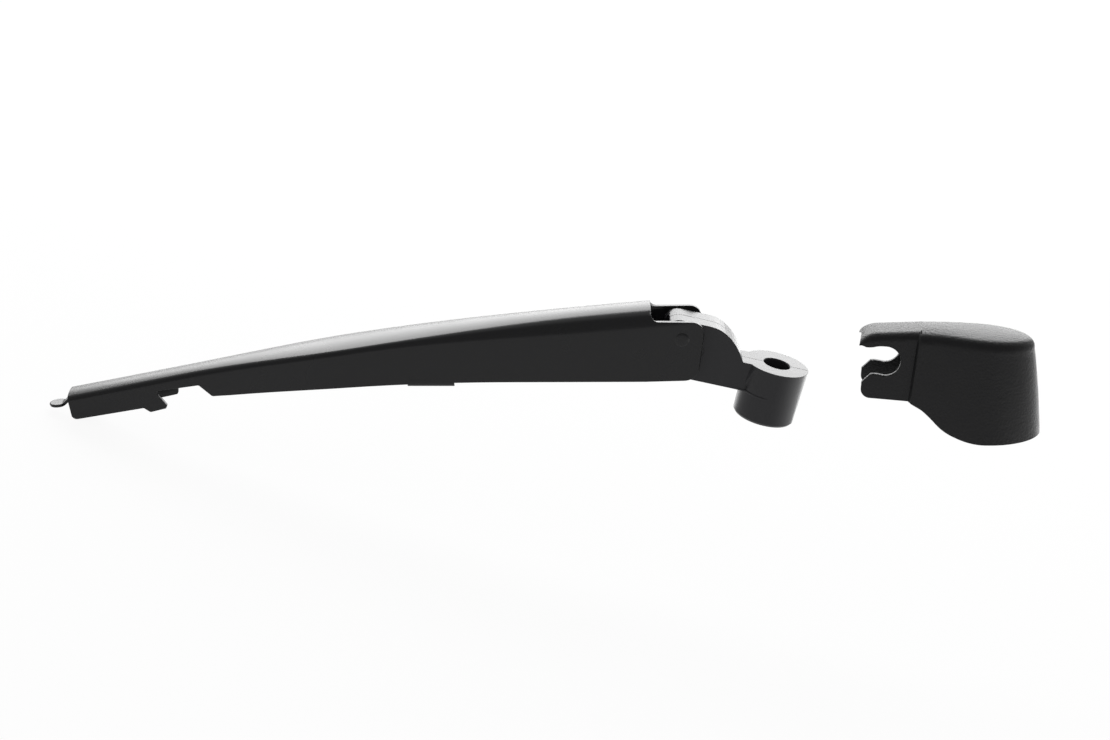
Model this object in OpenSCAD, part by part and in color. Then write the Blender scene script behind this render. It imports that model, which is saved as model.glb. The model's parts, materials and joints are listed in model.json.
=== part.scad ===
// Rear window wiper arm with its pull-off cover cap.
// Millimetres. The origin is where the spindle bore's axis meets the top face of the boss.
// +Z runs along the bore, away from the glass, and the arm reaches towards -X.

/* [Head casting] */
// Diameter of the boss at its top face
boss_top_d = 21.8; // [20:0.2:24]
// Diameter of the boss at its lower end
boss_bottom_d = 20.8; // [19:0.2:23]
// Height of the boss
boss_h = 19.3; // [17:0.1:22]
// Diameter of the straight land in the spindle bore
bore_d = 9; // [8:0.1:10]
// Length of that land, down from the top face
bore_land = 7; // [5:0.5:10]
// Diameter of the spindle bore at its lower end
bore_mouth_d = 10.6; // [10:0.1:11.4]
// Chamfer around the top of the spindle bore
bore_chamfer = 0.3; // [0.1:0.1:0.6]
// Height of the lug's crest above the boss face
lug_top = 10; // [9:0.25:11]
// Depth of the lug's underside below the boss face
lug_depth = 10; // [8:0.25:12]
// Wall of the casting around the pivot
lug_nose = 6; // [5.4:0.1:6.6]
// Length of the level crest behind the pivot
crest_len = 8.8; // [6:0.2:11]
// Where the lug's back slope meets the boss face, from the spindle axis
slope_foot = 12.3; // [11.6:0.1:13.5]
// Width of the slot that the spring link swings in
slot_w = 5.6; // [4.4:0.2:6.4]
// Thickness of the roof over that slot
slot_roof = 1.9; // [1.4:0.1:2.4]

/* [Pivot] */
// Distance from the spindle axis to the pivot
pivot_reach = 34.75; // [32:0.25:38]
// Height of the pivot above the boss face
pivot_rise = 4.45; // [3.5:0.05:5]
// Diameter of the pivot pin
pin_d = 5; // [4:0.1:5.4]
// How far each end of the pivot pin stands out of the arm
pin_proud = 0.15; // [0.05:0.05:0.4]
// Outside diameter of the nylon bushes
bush_d = 7.2; // [6.6:0.1:7.6]
// Diameter of the bush flanges, which the cap clips round
flange_d = 9.2; // [8.4:0.1:9.4]
// Running clearance of pins, on the radius
pin_play = 0.05; // [0.02:0.01:0.08]
// Thickness of the bush flanges, between the lug and the arm's walls
flange_t = 1.6; // [1.2:0.1:2]
// Gap between the bush flanges and the arm's walls
side_play = 0.2; // [0.1:0.05:0.4]
// Angle that the arm hangs below the boss face at its lower stop
rest_drop = 13; // [8:0.5:16]

/* [Arm pressing] */
// Thickness of the sheet
sheet = 1.5; // [1.2:0.1:1.6]
// Outside width of the arm at the pivot
arm_w = 18; // [17.4:0.2:19]
// Outside width of the arm where its plan starts to narrow
waist_w = 17.6; // [15:0.2:17.8]
// Outside width of the arm over the tip
tip_w = 11.2; // [10:0.2:13]
// Length of the arm from the pivot to the end of its walls
arm_len = 206; // [195:1:215]
// Corner radius of the top at the pivot
head_corner_r = 5.5; // [4:0.25:6]
// Corner radius of the top at the tip
tip_corner_r = 2; // [1.7:0.1:3]
// Height of the window's edge above the pivot
window_z = 6.1; // [5.6:0.1:6.6]
// Distance from the pivot to the cut end of the top wall
window_x = 10.4; // [10:0.1:13]
// Height of the arm's lower edge below the pivot
edge_depth = 15.05; // [14:0.05:16]

/* [Arm tip] */
// Width of the stem of the end tongue
tongue_stem_w = 3.6; // [3:0.2:4.4]
// Width of the rounded pad of the end tongue
tongue_pad_w = 5.8; // [5:0.2:7]
// How far the tongue reaches past the walls
tongue_reach = 8.6; // [7:0.2:10]
// How far the hooks stand below the arm's lower edge
hook_drop = 1.5; // [1:0.1:2]
// Distance from the end of the walls back to the hooks' front corner
hook_back = 32; // [28:0.5:36]

/* [Spring and link] */
// Diameter of the spring wire
wire_d = 1.8; // [1.5:0.1:1.8]
// Outside diameter of the spring
spring_d = 9.6; // [9:0.1:10.4]
// Number of coil turns
spring_turns = 20; // [16:1:21]
// Diameter of the pin that anchors the link in the head
link_pin_d = 4; // [3.4:0.1:4]
// Distance from the pivot to the link's pin
link_pin_offset = 7.6; // [7.4:0.1:7.8]
// Angle of the link's pin below the arm's level
link_pin_angle = 43.4; // [40:0.2:46]
// Thickness of the link strip
link_t = 2.2; // [1.8:0.1:2.3]
// Width of the link strip
link_w = 4.6; // [3.6:0.2:5]
// Distance from the pivot to the anchor tab's middle
anchor_x = 84; // [82:0.5:86]
// Length of the anchor tab along the arm
anchor_len = 15.8; // [14:0.2:18]
// Distance from the pivot to the spring's hook in the anchor tab
hook_at = 81.5; // [81:0.1:82]
// Depth of the anchor tab's underside below the pivot
anchor_depth = 17.2; // [17:0.1:18]

/* [Cover cap] */
// Thickness of the cap's walls
cap_wall = 1.8; // [1.4:0.1:2.2]
// Thickness of the two clip ears
ear_t = 1.4; // [1.1:0.05:1.4]
// Gap between each clip ear and the arm's wall beside it, when the cap is on
ear_play = 0.35; // [0.25:0.05:0.5]
// Length of the ears' upper lips ahead of the notch centre
ear_front = 8.2; // [7.5:0.1:9.5]
// Length of the ears' lower lips ahead of the notch centre
ear_chin = 7.2; // [6:0.1:7.6]
// Rise of the ears' top towards the hood
ear_rise = 7; // [4:0.5:8]
// Length of the ears behind the notch centre
ear_back = 10; // [9.4:0.1:12]
// Depth of the ears below the notch centre
ear_depth = 13.8; // [12.5:0.1:15]
// Diameter of the clip notch
notch_d = 10.4; // [9.8:0.1:10.8]
// Opening between the notch's lips
mouth_w = 9.3; // [9:0.1:9.4]
// Height of the cap's top above the notch centre
cap_top = 10.9; // [10.4:0.1:11.4]
// Height of the ears' top above the notch centre
ear_top = 9.6; // [9.2:0.1:10]
// Depth of the cap's rim below the notch centre
cap_rim = 24.8; // [22:0.2:27]
// Slope of the rim, up towards the back
cap_rim_slope = 5; // [0:0.5:7]
// Width of the cap at its rim
cap_w = 26; // [25:0.2:29]
// Length from the notch centre to the back of the rim
cap_len = 55.2; // [53:0.2:57]
// How much narrower each side is at the top
cap_side_draft = 2.3; // [1:0.1:3]
// How much shorter the back is at the top
cap_back_draft = 5.6; // [3:0.2:8]
// Rounding of the cap's top edge
cap_round = 4.5; // [3.2:0.1:5]
// Distance from the pivot to the cap's notch, as laid out
cap_away = 69.25; // [60:0.25:90]
// Height of the cap's notch below the pivot, as laid out
cap_below = 8.45; // [0:0.05:12]
// Tilt of the cap against the arm, as laid out
cap_tilt = 2.6; // [0:0.2:10]
// Turn of the cap about its own upright, as laid out
cap_turn = 7; // [0:0.5:10]

/* [Hidden] */
$fn = 64;
eps = 0.01;
paint = [0.16, 0.16, 0.17];
zinc = [0.62, 0.63, 0.65];
nylon = [0.86, 0.85, 0.8];
plastic = [0.13, 0.13, 0.14];

pin_r = pin_d / 2;
arm_hw = arm_w / 2;
wall_in = arm_hw - sheet;
lug_hw = wall_in - side_play - flange_t;
lug_w = 2 * lug_hw;
link_pin_r = link_pin_d / 2;
link_pin_x = link_pin_offset * cos(link_pin_angle);
link_pin_z = -link_pin_offset * sin(link_pin_angle);
wire_r = wire_d / 2;
coil_r = (spring_d - wire_d) / 2;

// Points of a curve
function lerp(a, b, t) = a + (b - a) * t;
function clamp01(t) = min(max(t, 0), 1);
function smooth(t) = let (c = clamp01(t)) c * c * (3 - 2 * c);
function bezier2(a, b, c, t) = lerp(lerp(a, b, t), lerp(b, c, t), t);
function bezier3(a, b, c, d, t) = lerp(bezier2(a, b, c, t), bezier2(b, c, d, t), t);
function flatten(lists) = [for (l = lists) each l];
function unit(v) = v / norm(v);
function reversed(list) = [for (i = [len(list) - 1:-1:0]) list[i]];

// Triangles that close a ring of n points whose two halves face each other
function lid(n, base) = [
    for (i = [0:floor(n / 2) - 1]) each [
        if (n - 1 - i > i + 1) [base + i, base + n - 1 - i, base + i + 1],
        if (n - 2 - i > i + 1) [base + n - 1 - i, base + n - 2 - i, base + i + 1]
    ]
];
function turned_over(faces) = [for (f = faces) reversed(f)];

// Triangles between rings of n points, one ring to a row
function skin(rows, n) = [
    for (s = [0:rows - 2], i = [0:n - 1])
        let (p = s * n + i, q = s * n + (i + 1) % n)
        each [[p, q, p + n], [q, q + n, p + n]]
];

// Points of the arc of radius r that rounds the corner b between a and c
function corner(a, b, c, r, n = 6) =
    let (
        u = unit(a - b),
        v = unit(c - b),
        half = acos(u * v) / 2,
        reach = r / tan(half),
        centre = b + unit(u + v) * r / sin(half),
        p = b + u * reach - centre,
        q = b + v * reach - centre,
        start = atan2(p[1], p[0]),
        turn = atan2(p[0] * q[1] - p[1] * q[0], p * q)
    )
    [for (i = [0:n]) centre + r * [cos(start + turn * i / n), sin(start + turn * i / n)]];

// A closed outline from rows of [point, corner radius]
function rounded_outline(rows) =
    let (n = len(rows))
    flatten([
        for (i = [0:n - 1])
            rows[i][1] == 0
                ? [rows[i][0]]
                : corner(rows[(i + n - 1) % n][0], rows[i][0], rows[(i + 1) % n][0], rows[i][1])
    ]);

// Moves what is drawn about the pivot to its place beside the boss
module at_pivot() {
    translate([-pivot_reach, 0, pivot_rise]) children();
}

// The same, turned to the arm's hanging angle
module at_arm() {
    at_pivot() rotate([0, -rest_drop, 0]) children();
}

// Extrudes a side view drawn in X and Z to the given width, centred on Y
module side_plate(width) {
    rotate([90, 0, 0]) linear_extrude(height = width, center = true) children();
}

// A cylinder along Y, centred on Y
module cross_cylinder(d, length) {
    rotate([90, 0, 0]) cylinder(d = d, h = length, center = true);
}

// Head casting
nose_x = -pivot_reach - lug_nose;
crest_x = -pivot_reach + crest_len;
link_hole_x = -pivot_reach + link_pin_x * cos(rest_drop) - link_pin_z * sin(rest_drop);
link_hole_z = pivot_rise + link_pin_x * sin(rest_drop) + link_pin_z * cos(rest_drop);
slot_end = link_hole_x + link_pin_r + link_t + 1.2;
slot_top = lug_top - slot_roof;
nose_r = 4.8;
slope_steps = 10;

function lug_slope() = [
    for (i = [0:slope_steps])
        bezier3(
            [crest_x, lug_top], [crest_x + 6.6, lug_top],
            [-slope_foot - 2.2, 4.2], [-slope_foot, 0], i / slope_steps
        )
];

function lug_outline() = concat(
    corner([nose_x, -1], [nose_x, lug_top], [crest_x, lug_top], nose_r),
    lug_slope(),
    [[-slope_foot, -lug_depth]],
    corner([-slope_foot, -lug_depth], [nose_x + 5, -lug_depth], [nose_x, -1], 1.5)
);

// Web between the lug and the boss. Each side flares out to the boss face along the top, and a
// three-cornered pocket under the flare runs down to a floor
lug_end = -slope_foot - 0.7;
web_low = 8.2;
web_foot = 6.6;
web_top_angle = 109;
web_low_angle = 129;
ledge_t = 0.55;
ledge_out = 0.25;

function fan(n, base) = [for (i = [1:n - 2]) [base, base + i, base + i + 1]];

module web_half() {
    top_r = boss_top_d / 2 - 0.1;
    low_r = boss_bottom_d / 2 + 0.1;
    top = [
        [-4, 0.5, 0], [lug_end, 0.5, 0], [lug_end, -lug_hw, 0], [-slope_foot + 3, -lug_hw, 0],
        [-slope_foot + 4.5, -lug_hw - 1.85, 0], [-slope_foot + 4.6, -lug_hw - 1.87, 0],
        top_r * [cos(web_top_angle), -sin(web_top_angle), 0]
    ];
    low = [
        [-4, 0.5, -web_low], [lug_end, 0.5, -web_low], [lug_end, -lug_hw, -web_low],
        [-slope_foot + 1.9, -lug_hw, -web_low], [-slope_foot + 2.2, -lug_hw, -web_low],
        [-slope_foot + 4.2, -lug_hw + 0.3, -web_low],
        [low_r * cos(web_low_angle), -low_r * sin(web_low_angle), -web_foot]
    ];
    n = len(top);
    polyhedron(concat(low, top), concat(turned_over(skin(2, n)), fan(n, 0), turned_over(fan(n, n))));
}

module web() {
    for (side = [0, 1]) mirror([0, side, 0]) web_half();
    translate([0, 0, -lug_depth]) linear_extrude(height = lug_depth - web_low + eps)
        polygon([
            [lug_end, -lug_hw], [-slope_foot + 2.6, -lug_hw], [-slope_foot + 4.2, -lug_hw + 0.4],
            [-slope_foot + 4.2, lug_hw - 0.4], [-slope_foot + 2.6, lug_hw], [lug_end, lug_hw]
        ]);
}

// Thin ledge under the web, which runs out round the boss
module ledge() {
    r = boss_bottom_d / 2 + 0.2 + ledge_out;
    half = concat(
        [[lug_end, lug_hw], [-slope_foot + 3, lug_hw + 0.2]],
        [for (a = [144:-4:100]) (r - (a < 108 ? 0.02 * (108 - a) : 0)) * [cos(a), sin(a)]]
    );
    translate([0, 0, -lug_depth]) linear_extrude(height = ledge_t)
        polygon(concat(half, [for (p = reversed(half)) [p[0], -p[1]]]));
}

module boss() {
    cylinder_h = boss_h - 0.8;
    translate([0, 0, -cylinder_h])
        cylinder(d1 = boss_bottom_d + 0.1, d2 = boss_top_d, h = cylinder_h);
    translate([0, 0, -boss_h])
        cylinder(d1 = boss_bottom_d - 1.2, d2 = boss_bottom_d + 0.1, h = boss_h - cylinder_h);
}

module spindle_bore() {
    translate([0, 0, -bore_land]) cylinder(d = bore_d, h = bore_land + 1);
    translate([0, 0, -boss_h - eps])
        cylinder(d1 = bore_mouth_d, d2 = bore_d, h = boss_h - bore_land + eps);
    translate([0, 0, -bore_chamfer])
        cylinder(d1 = bore_d, d2 = bore_d + 4 * bore_chamfer, h = 2 * bore_chamfer);
}

module head() {
    color(paint)
    difference() {
        union() {
            boss();
            side_plate(lug_w) polygon(lug_outline());
            web();
            ledge();
        }
        spindle_bore();
        translate([-pivot_reach, 0, pivot_rise]) cross_cylinder(bush_d, lug_w + 2);
        translate([link_hole_x, 0, link_hole_z]) cross_cylinder(link_pin_d, lug_w + 2);
        link_slot();
    }
}

module link_slot() {
    slot_len = slot_end - nose_x + 1;
    translate([nose_x - 1, -slot_w / 2, -lug_depth - 1])
        cube([slot_len, slot_w, slot_top + lug_depth + 1]);
}

// Pivot pin and bushes
module pivot_pin() {
    color(zinc)
    at_pivot() {
        cross_cylinder(pin_d, arm_w);
        for (side = [-1, 1])
            rotate([side * 90, 0, 0])
                translate([0, 0, arm_hw - eps])
                    cylinder(d1 = pin_d, d2 = pin_d - 2 * pin_proud, h = pin_proud + eps);
    }
}

module bush(side) {
    color(nylon)
    at_pivot() rotate([side * 90, 0, 0])
    difference() {
        union() {
            translate([0, 0, slot_w / 2]) cylinder(d = bush_d, h = lug_hw - slot_w / 2 + eps);
            translate([0, 0, lug_hw]) cylinder(d = flange_d, h = flange_t);
        }
        cylinder(r = pin_r + pin_play, h = arm_w);
    }
}

module bush_near() {
    bush(1);
}

module bush_far() {
    bush(-1);
}

// Arm pressing, drawn about the pivot with X level
waist_x = -112;
narrow_x = -168;
blend_x = -20;
loft_start = -arm_len - 3;
loft_end = 12;
loft_steps = 44;
arc_steps = 5;
top_tip = [-170, -14.16];
top_bend = [-90.4, 2.39];
top_head = [-15, 9.03];
tip_slope = (top_bend[1] - top_tip[1]) / (top_bend[0] - top_tip[0]);
head_slope = (top_head[1] - top_bend[1]) / (top_head[0] - top_bend[0]);

function half_width(x) =
    x > waist_x
        ? lerp(waist_w, arm_w, clamp01((x - waist_x) / (blend_x - waist_x))) / 2
        : lerp(tip_w, waist_w, smooth((x - narrow_x) / (waist_x - narrow_x))) / 2;

function corner_radius(x) = lerp(tip_corner_r, head_corner_r, smooth((x - waist_x) / 87));

// Height of the top along the arm: two straight runs and one sweep between them
function bend_share(x) =
    let (
        a = top_tip[0] - 2 * top_bend[0] + top_head[0],
        b = 2 * (top_bend[0] - top_tip[0]),
        c = top_tip[0] - x
    )
    (-b + sqrt(b * b - 4 * a * c)) / (2 * a);

function top_z(x) =
    x < top_tip[0] ? top_tip[1] + tip_slope * (x - top_tip[0])
    : x > top_head[0] ? top_head[1] + head_slope * (x - top_head[0])
    : bezier2(top_tip[1], top_bend[1], top_head[1], bend_share(x));

// One bent edge of the section, seen along X: side is -1 near and 1 far
function section_side(hw, z, r, low, side) = concat(
    [[side * hw, low]],
    [for (i = [0:arc_steps]) let (a = 90 * i / arc_steps)
        [side * (hw - r + r * cos(a)), z - r + r * sin(a)]]
);

function section_path(x, inset) =
    let (
        hw = half_width(x) - inset,
        z = top_z(x) - inset,
        r = corner_radius(x) - inset,
        low = top_z(x) - 34
    )
    concat(section_side(hw, z, r, low, -1), reversed(section_side(hw, z, r, low, 1)));

// A bent sheet: matching outside and inside paths at each station along X
module loft_sheet(xs) {
    m = 2 * len(section_path(xs[0], 0));
    rows = len(xs);
    points = [
        for (x = xs)
            for (p = concat(section_path(x, 0), reversed(section_path(x, sheet))))
                [x, p[0], p[1]]
    ];
    polyhedron(points, concat(skin(rows, m), lid(m, 0), turned_over(lid(m, (rows - 1) * m))));
}

module arm_sheet() {
    xs = [for (i = [0:loft_steps]) lerp(loft_start, loft_end, i / loft_steps)];
    loft_sheet(xs);
}

// Point beside the hooks' front corner, measured from the top of the arm there
hook_x = arm_len - hook_back;
hook_z = top_z(-hook_x);

function at_hook(x, z) = [x - hook_x, z + hook_z];

// Side view of the walls
edge_start = at_hook(22, 8.89 - edge_depth);
edge_bend = [-104.3, -edge_depth - 0.52];
edge_end = [-60, -edge_depth - 0.3];
edge_rise = [-12, -edge_depth - 0.1];
edge_steps = 12;
tip_depth = 9.25;
wall_tip = [-arm_len, top_z(-arm_len) - tip_depth];
hook_root = at_hook(-7.6, -11.16);
hook_toe = [hook_root[0] + 2.2, hook_root[1] - hook_drop];
recess_start = at_hook(4.4, -4.31);
recess_end = at_hook(11.4, -2.81);
recess_foot = at_hook(15.8, -6.71);
end_low = [5.3, -edge_depth + 0.4];
end_high = [7.9, window_z];
end_corner_r = 4;
end_foot_r = 5;
window_corner = [-window_x, window_z];

function wall_outline() = concat(
    rounded_outline([
        [[-arm_len - 8.5, 20], 0],
        [wall_tip, 1.8],
        [hook_root, 0.8],
        [hook_toe, 0.9],
        [at_hook(3.9, -10.21), 1.2],
        [recess_start, 0.4],
        [recess_end, 1],
        [recess_foot, 1.2],
        [edge_start, 0]
    ]),
    [for (i = [1:edge_steps]) bezier2(edge_start, edge_bend, edge_end, i / edge_steps)],
    [edge_rise],
    corner(edge_rise, end_low, end_high, end_foot_r),
    corner(end_low, end_high, window_corner, end_corner_r),
    reversed(corner([-window_x, 20], window_corner, end_high, 2.6)),
    [[-window_x, 20]]
);

// What is cut from the near wall only, to leave its hook free
function hook_gap() = rounded_outline([
    [at_hook(-2.9, -4.99), 0],
    [at_hook(-2.8, -6.11), 0.4],
    [at_hook(0.4, -10.21), 0.8],
    [at_hook(-0.6, -12.41), 0],
    [at_hook(-0.6, -17), 0],
    [at_hook(9, -17), 0],
    [at_hook(9, -3.31), 0]
]);

// What is cut from the far wall only, whose hook ends higher
function far_gap() = rounded_outline([
    [at_hook(-4.6, -17), 0],
    [at_hook(-4.6, -11.71), 0],
    [at_hook(2.7, -9.96), 0.8],
    [at_hook(3.1, -4.01), 0.3],
    [at_hook(9, -3.21), 0],
    [at_hook(9, -17), 0]
]);

module far_cut() {
    translate([0, arm_hw / 2 + eps, 0]) side_plate(arm_hw) polygon(far_gap());
}

module hook_cut() {
    translate([0, -arm_hw / 2 - eps, 0]) side_plate(arm_hw) polygon(hook_gap());
}

// Tongue at the end of the top wall
tongue_root = [-arm_len + 0.2, top_z(-arm_len + 0.2) - sheet / 2];
tongue_knee = [-arm_len - 3.6, tongue_root[1] - 4.2];
tongue_end = [-arm_len - tongue_reach, tongue_knee[1] - 0.4];
tongue_t = 1;

function strip_normals(path) = [
    for (i = [0:len(path) - 1])
        let (d = unit(path[min(i + 1, len(path) - 1)] - path[max(i - 1, 0)]))
        [-d[1], d[0]]
];

// Outline of a strip of the given thickness along a path in X and Z
function strip_outline(path, t) =
    let (normals = strip_normals(path))
    concat(
        [for (i = [0:len(path) - 1]) path[i] + normals[i] * t / 2],
        reversed([for (i = [0:len(path) - 1]) path[i] - normals[i] * t / 2])
    );

module tongue() {
    pad_r = tongue_pad_w / 2;
    path = concat(
        [tongue_root],
        corner(tongue_root, tongue_knee, tongue_end, 2),
        [tongue_end]
    );
    intersection() {
        side_plate(tongue_pad_w) polygon(strip_outline(path, tongue_t));
        union() {
            translate([tongue_end[0] + pad_r, 0, -40]) cylinder(r = pad_r, h = 30);
            translate([tongue_end[0] + pad_r, -tongue_stem_w / 2, -40])
                cube([tongue_reach, tongue_stem_w, 30]);
        }
    }
}

// Far corner of the top wall's end, seen from above
module tip_corner() {
    hw = tip_w / 2;
    linear_extrude(height = 60, center = true)
        polygon([[-arm_len - 4, hw - 2.6], [-arm_len + 1.2, hw + 0.1], [-arm_len - 4, hw + 1]]);
}

// Tab bent in from the near wall, with the slot for the spring's hook
anchor_slot_w = 2.8;
anchor_slot_shift = 2.9;
anchor_slot_x = -hook_at + anchor_slot_w / 2 - wire_r - 0.1;

module anchor_tab() {
    hw = half_width(-anchor_x);
    bend_r = sheet;
    length = anchor_len;
    difference() {
        union() {
            translate([-anchor_x, -hw + bend_r, -anchor_depth + bend_r])
                rotate([0, 90, 0]) cylinder(r = bend_r, h = length, center = true);
            translate([-anchor_x - length / 2, -hw + bend_r, -anchor_depth])
                cube([length, 2 * hw - bend_r - sheet - 0.5, sheet]);
            translate([-anchor_x - length / 2, -hw, -anchor_depth + bend_r])
                cube([length, sheet, 1.2]);
        }
        hull()
            for (x = [0, anchor_slot_shift - anchor_slot_w / 2 + wire_r])
                translate([anchor_slot_x + x, 0, -anchor_depth - 1])
                    cylinder(d = anchor_slot_w, h = sheet + 2);
    }
}

module arm_channel() {
    color(paint)
    at_arm()
    difference() {
        union() {
            difference() {
                intersection() {
                    arm_sheet();
                    side_plate(arm_w + 2) polygon(wall_outline());
                }
                hook_cut();
                tip_corner();
                far_cut();
            }
            tongue();
            anchor_tab();
        }
        cross_cylinder(pin_d, arm_w + 2);
    }
}

// Spring link: a strip bent to a C, drawn about its pin with X along the line of pull
anchor_pull = [-hook_at, -anchor_depth + sheet + wire_r + 0.4];
pull_angle = atan2(link_pin_z - anchor_pull[1], link_pin_x - anchor_pull[0]);
pull_len = norm([link_pin_x, link_pin_z] - anchor_pull);
eye_r = link_pin_r + pin_play + link_t / 2;
eye_start = 165;
eye_end = -30;
strap_flat_z = -link_t / 2 - wire_r - 0.3;
strap_x = -27;

module at_link() {
    at_arm() translate([link_pin_x, 0, link_pin_z]) rotate([0, -pull_angle, 0]) children();
}

function link_path() =
    let (
        leave = eye_r * [cos(eye_end), sin(eye_end)],
        down = [sin(eye_end), -cos(eye_end)],
        rise = [strap_x + 4.5, -5.5]
    )
    concat(
        [for (a = [eye_start:-15:eye_end + 1]) eye_r * [cos(a), sin(a)]],
        [for (i = [0:14]) bezier3(leave, leave + 10.4 * down, [strap_x + 7.5, -12.8], rise, i / 14)],
        [for (i = [1:5]) bezier2(rise, [strap_x + 3, strap_flat_z], [strap_x, strap_flat_z], i / 5)],
        [[strap_x - 3.4, strap_flat_z]]
    );

module spring_link() {
    color(zinc)
    at_link()
    difference() {
        side_plate(link_w) polygon(strip_outline(link_path(), link_t));
        cross_cylinder(link_pin_d + 2 * pin_play, link_w + 2);
        translate([strap_x - 0.9, 0, strap_flat_z - link_t]) cylinder(d = wire_d + 0.6, h = 2 * link_t);
    }
}

module link_pin() {
    color(zinc)
    translate([link_hole_x, 0, link_hole_z]) cross_cylinder(link_pin_d, lug_w);
}

// Tension spring, drawn in the link's frame: hooks at both ends and close coils between
hook_bend = 1.9;
hook_leg = 3.4;
shank = hook_at - anchor_x + anchor_len / 2 - hook_bend + 0.2;
right_x = strap_x - 0.9;
left_x = -pull_len;
coil_lead = 3.8;
lead_turns = 0.75;
per_turn = 18;

// A hook that comes up through its hole and bends along the axis; dir is 1 towards +X
function hook_points(x, dir) = concat(
    [[x, 0, -hook_leg], [x, 0, -hook_bend]],
    [for (a = [22.5:22.5:90])
        [x + dir * hook_bend * (1 - cos(a)), 0, -hook_bend + hook_bend * sin(a)]]
);

coil_left = left_x + hook_bend + shank + coil_lead;
coil_right = right_x - hook_bend - coil_lead;

function lead_in(x, dir) = [
    for (i = [1:9])
        let (s = i / 10, a = 360 * lead_turns * (s - 1))
        [x + dir * coil_lead * s, coil_r * smooth(s) * sin(dir * a), coil_r * smooth(s) * cos(a)]
];

function coil_points() = [
    for (i = [0:spring_turns * per_turn])
        let (a = 360 * i / per_turn)
        [lerp(coil_left, coil_right, i / (spring_turns * per_turn)), coil_r * sin(a), coil_r * cos(a)]
];

function spring_path() = concat(
    hook_points(left_x, 1),
    lead_in(left_x + hook_bend + shank, 1),
    coil_points(),
    reversed(lead_in(right_x - hook_bend, -1)),
    reversed(hook_points(right_x, -1))
);

// Unit tangents, and frames carried along the path so that the rings don't twist
function tangents(path) = [
    for (i = [0:len(path) - 1])
        unit(path[min(i + 1, len(path) - 1)] - path[max(i - 1, 0)])
];

function carry(tans, i = 0, side = [0, 1, 0], out = []) =
    i == len(tans) ? out
    : let (s = unit(side - (side * tans[i]) * tans[i])) carry(tans, i + 1, s, concat(out, [s]));

module wire(path, r, sides) {
    tans = tangents(path);
    frames = carry(tans);
    n = len(path);
    points = [
        for (i = [0:n - 1], k = [0:sides - 1])
            let (a = 360 * k / sides)
            path[i] + r * (cos(a) * frames[i] + sin(a) * cross(tans[i], frames[i]))
    ];
    faces = concat(skin(n, sides), lid(sides, 0), turned_over(lid(sides, (n - 1) * sides)));
    polyhedron(points, turned_over(faces));
}

module tension_spring() {
    color(zinc) at_link() wire(spring_path(), wire_r, 8);
}

// Cover cap, drawn about its notch centre with the rim level
cap_hw = cap_w / 2;
ear_hw = wall_in - ear_play;
ear_w = 2 * ear_hw;
cap_corner = 4;
cap_crown = 0.5;
plan_steps = 8;
end_steps = 12;
level_steps = 5;

module at_cap() {
    at_arm() translate([cap_away, 0, -cap_below]) rotate([0, cap_tilt, 0])
        rotate([0, 0, -cap_turn]) children();
}

// Plan outline of the cap at a height share t, 0 at the rim and 1 at the top: the walls are
// set in by inset on all sides, and the sides and back by round as well
function cap_plan(t, inset, round) =
    let (
        front = ear_back + inset,
        wide = cap_hw - cap_side_draft * t - inset - round,
        narrow = arm_hw - inset - round,
        middle = cap_len - cap_back_draft * t - inset - round - wide,
        side = [for (i = [0:plan_steps])
            let (s = i / plan_steps) [lerp(front, middle, s), lerp(narrow, wide, smooth(s))]],
        end = [for (i = [1:end_steps - 1])
            let (a = 90 - 180 * i / end_steps) [middle + wide * cos(a), wide * sin(a)]]
    )
    concat(side, end, [for (p = reversed(side)) [p[0], -p[1]]]);

// Levels of the cap's skin: [height, share of the draft, extra inset of the rounding]
function cap_levels(inset) =
    let (r = cap_round - inset * 0.7, top = cap_top - inset, low = -cap_rim - 2 - inset)
    concat(
        [[low, 0, 0], [-cap_rim * 0.5, 0.36, 0]],
        [for (i = [0:level_steps]) let (a = 90 * i / level_steps)
            [top - r + r * sin(a), 1, r * (1 - cos(a))]]
    );

module cap_solid(inset) {
    levels = cap_levels(inset);
    k = len(cap_plan(0, 0, 0));
    rows = len(levels);
    points = [for (l = levels) for (p = cap_plan(l[1], inset, l[2]))
        [p[0], p[1], l[0] - (l[0] > 0 ? cap_crown * pow((p[0] - 28) / 26, 2) : 0)]];
    polyhedron(points, concat(skin(rows, k), lid(k, 0), turned_over(lid(k, (rows - 1) * k))));
}

// Section of the ears and the bridge over them
function ear_section(hw, top, r) = concat(
    [[-hw, -40]],
    corner([-hw, -40], [-hw, top], [hw, top], r),
    corner([-hw, top], [hw, top], [hw, -40], r),
    [[hw, -40]]
);

module ear_block() {
    reach = ear_back + cap_wall;
    rotate([0, -ear_rise, 0])
    translate([-ear_front - 4, 0, 0]) rotate([90, 0, 90])
    difference() {
        linear_extrude(height = ear_front + reach + 4)
            polygon(ear_section(ear_hw, ear_top, cap_corner));
        translate([0, 0, -1]) linear_extrude(height = ear_front + reach + 6)
            polygon(ear_section(ear_hw - ear_t, ear_top - cap_wall, cap_corner - ear_t));
    }
}

// Side view of the cap: what is kept
function cap_outline() =
    rounded_outline([
        [[-ear_front, 30], 0],
        [[-ear_front, -notch_d / 2 - 0.6], 0],
        [[-ear_chin + 0.4, -notch_d / 2 - 0.6], 0],
        [[-ear_chin, -notch_d / 2 - 4], 1],
        [[-ear_chin, -ear_depth], 3.2],
        [[ear_back - 0.9, -ear_depth], 1],
        [[ear_back + 0.2, -ear_depth - 0.2], 0],
        [[ear_back + 4.2, -ear_depth - 2], 5],
        [[ear_back + 11.6, -cap_rim + 2.6], 7],
        [[ear_back + 21, -cap_rim], 8],
        [[cap_len + 5, -cap_rim + (cap_len - 26) * tan(cap_rim_slope)], 0],
        [[cap_len + 5, 30], 0]
    ]);

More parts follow.
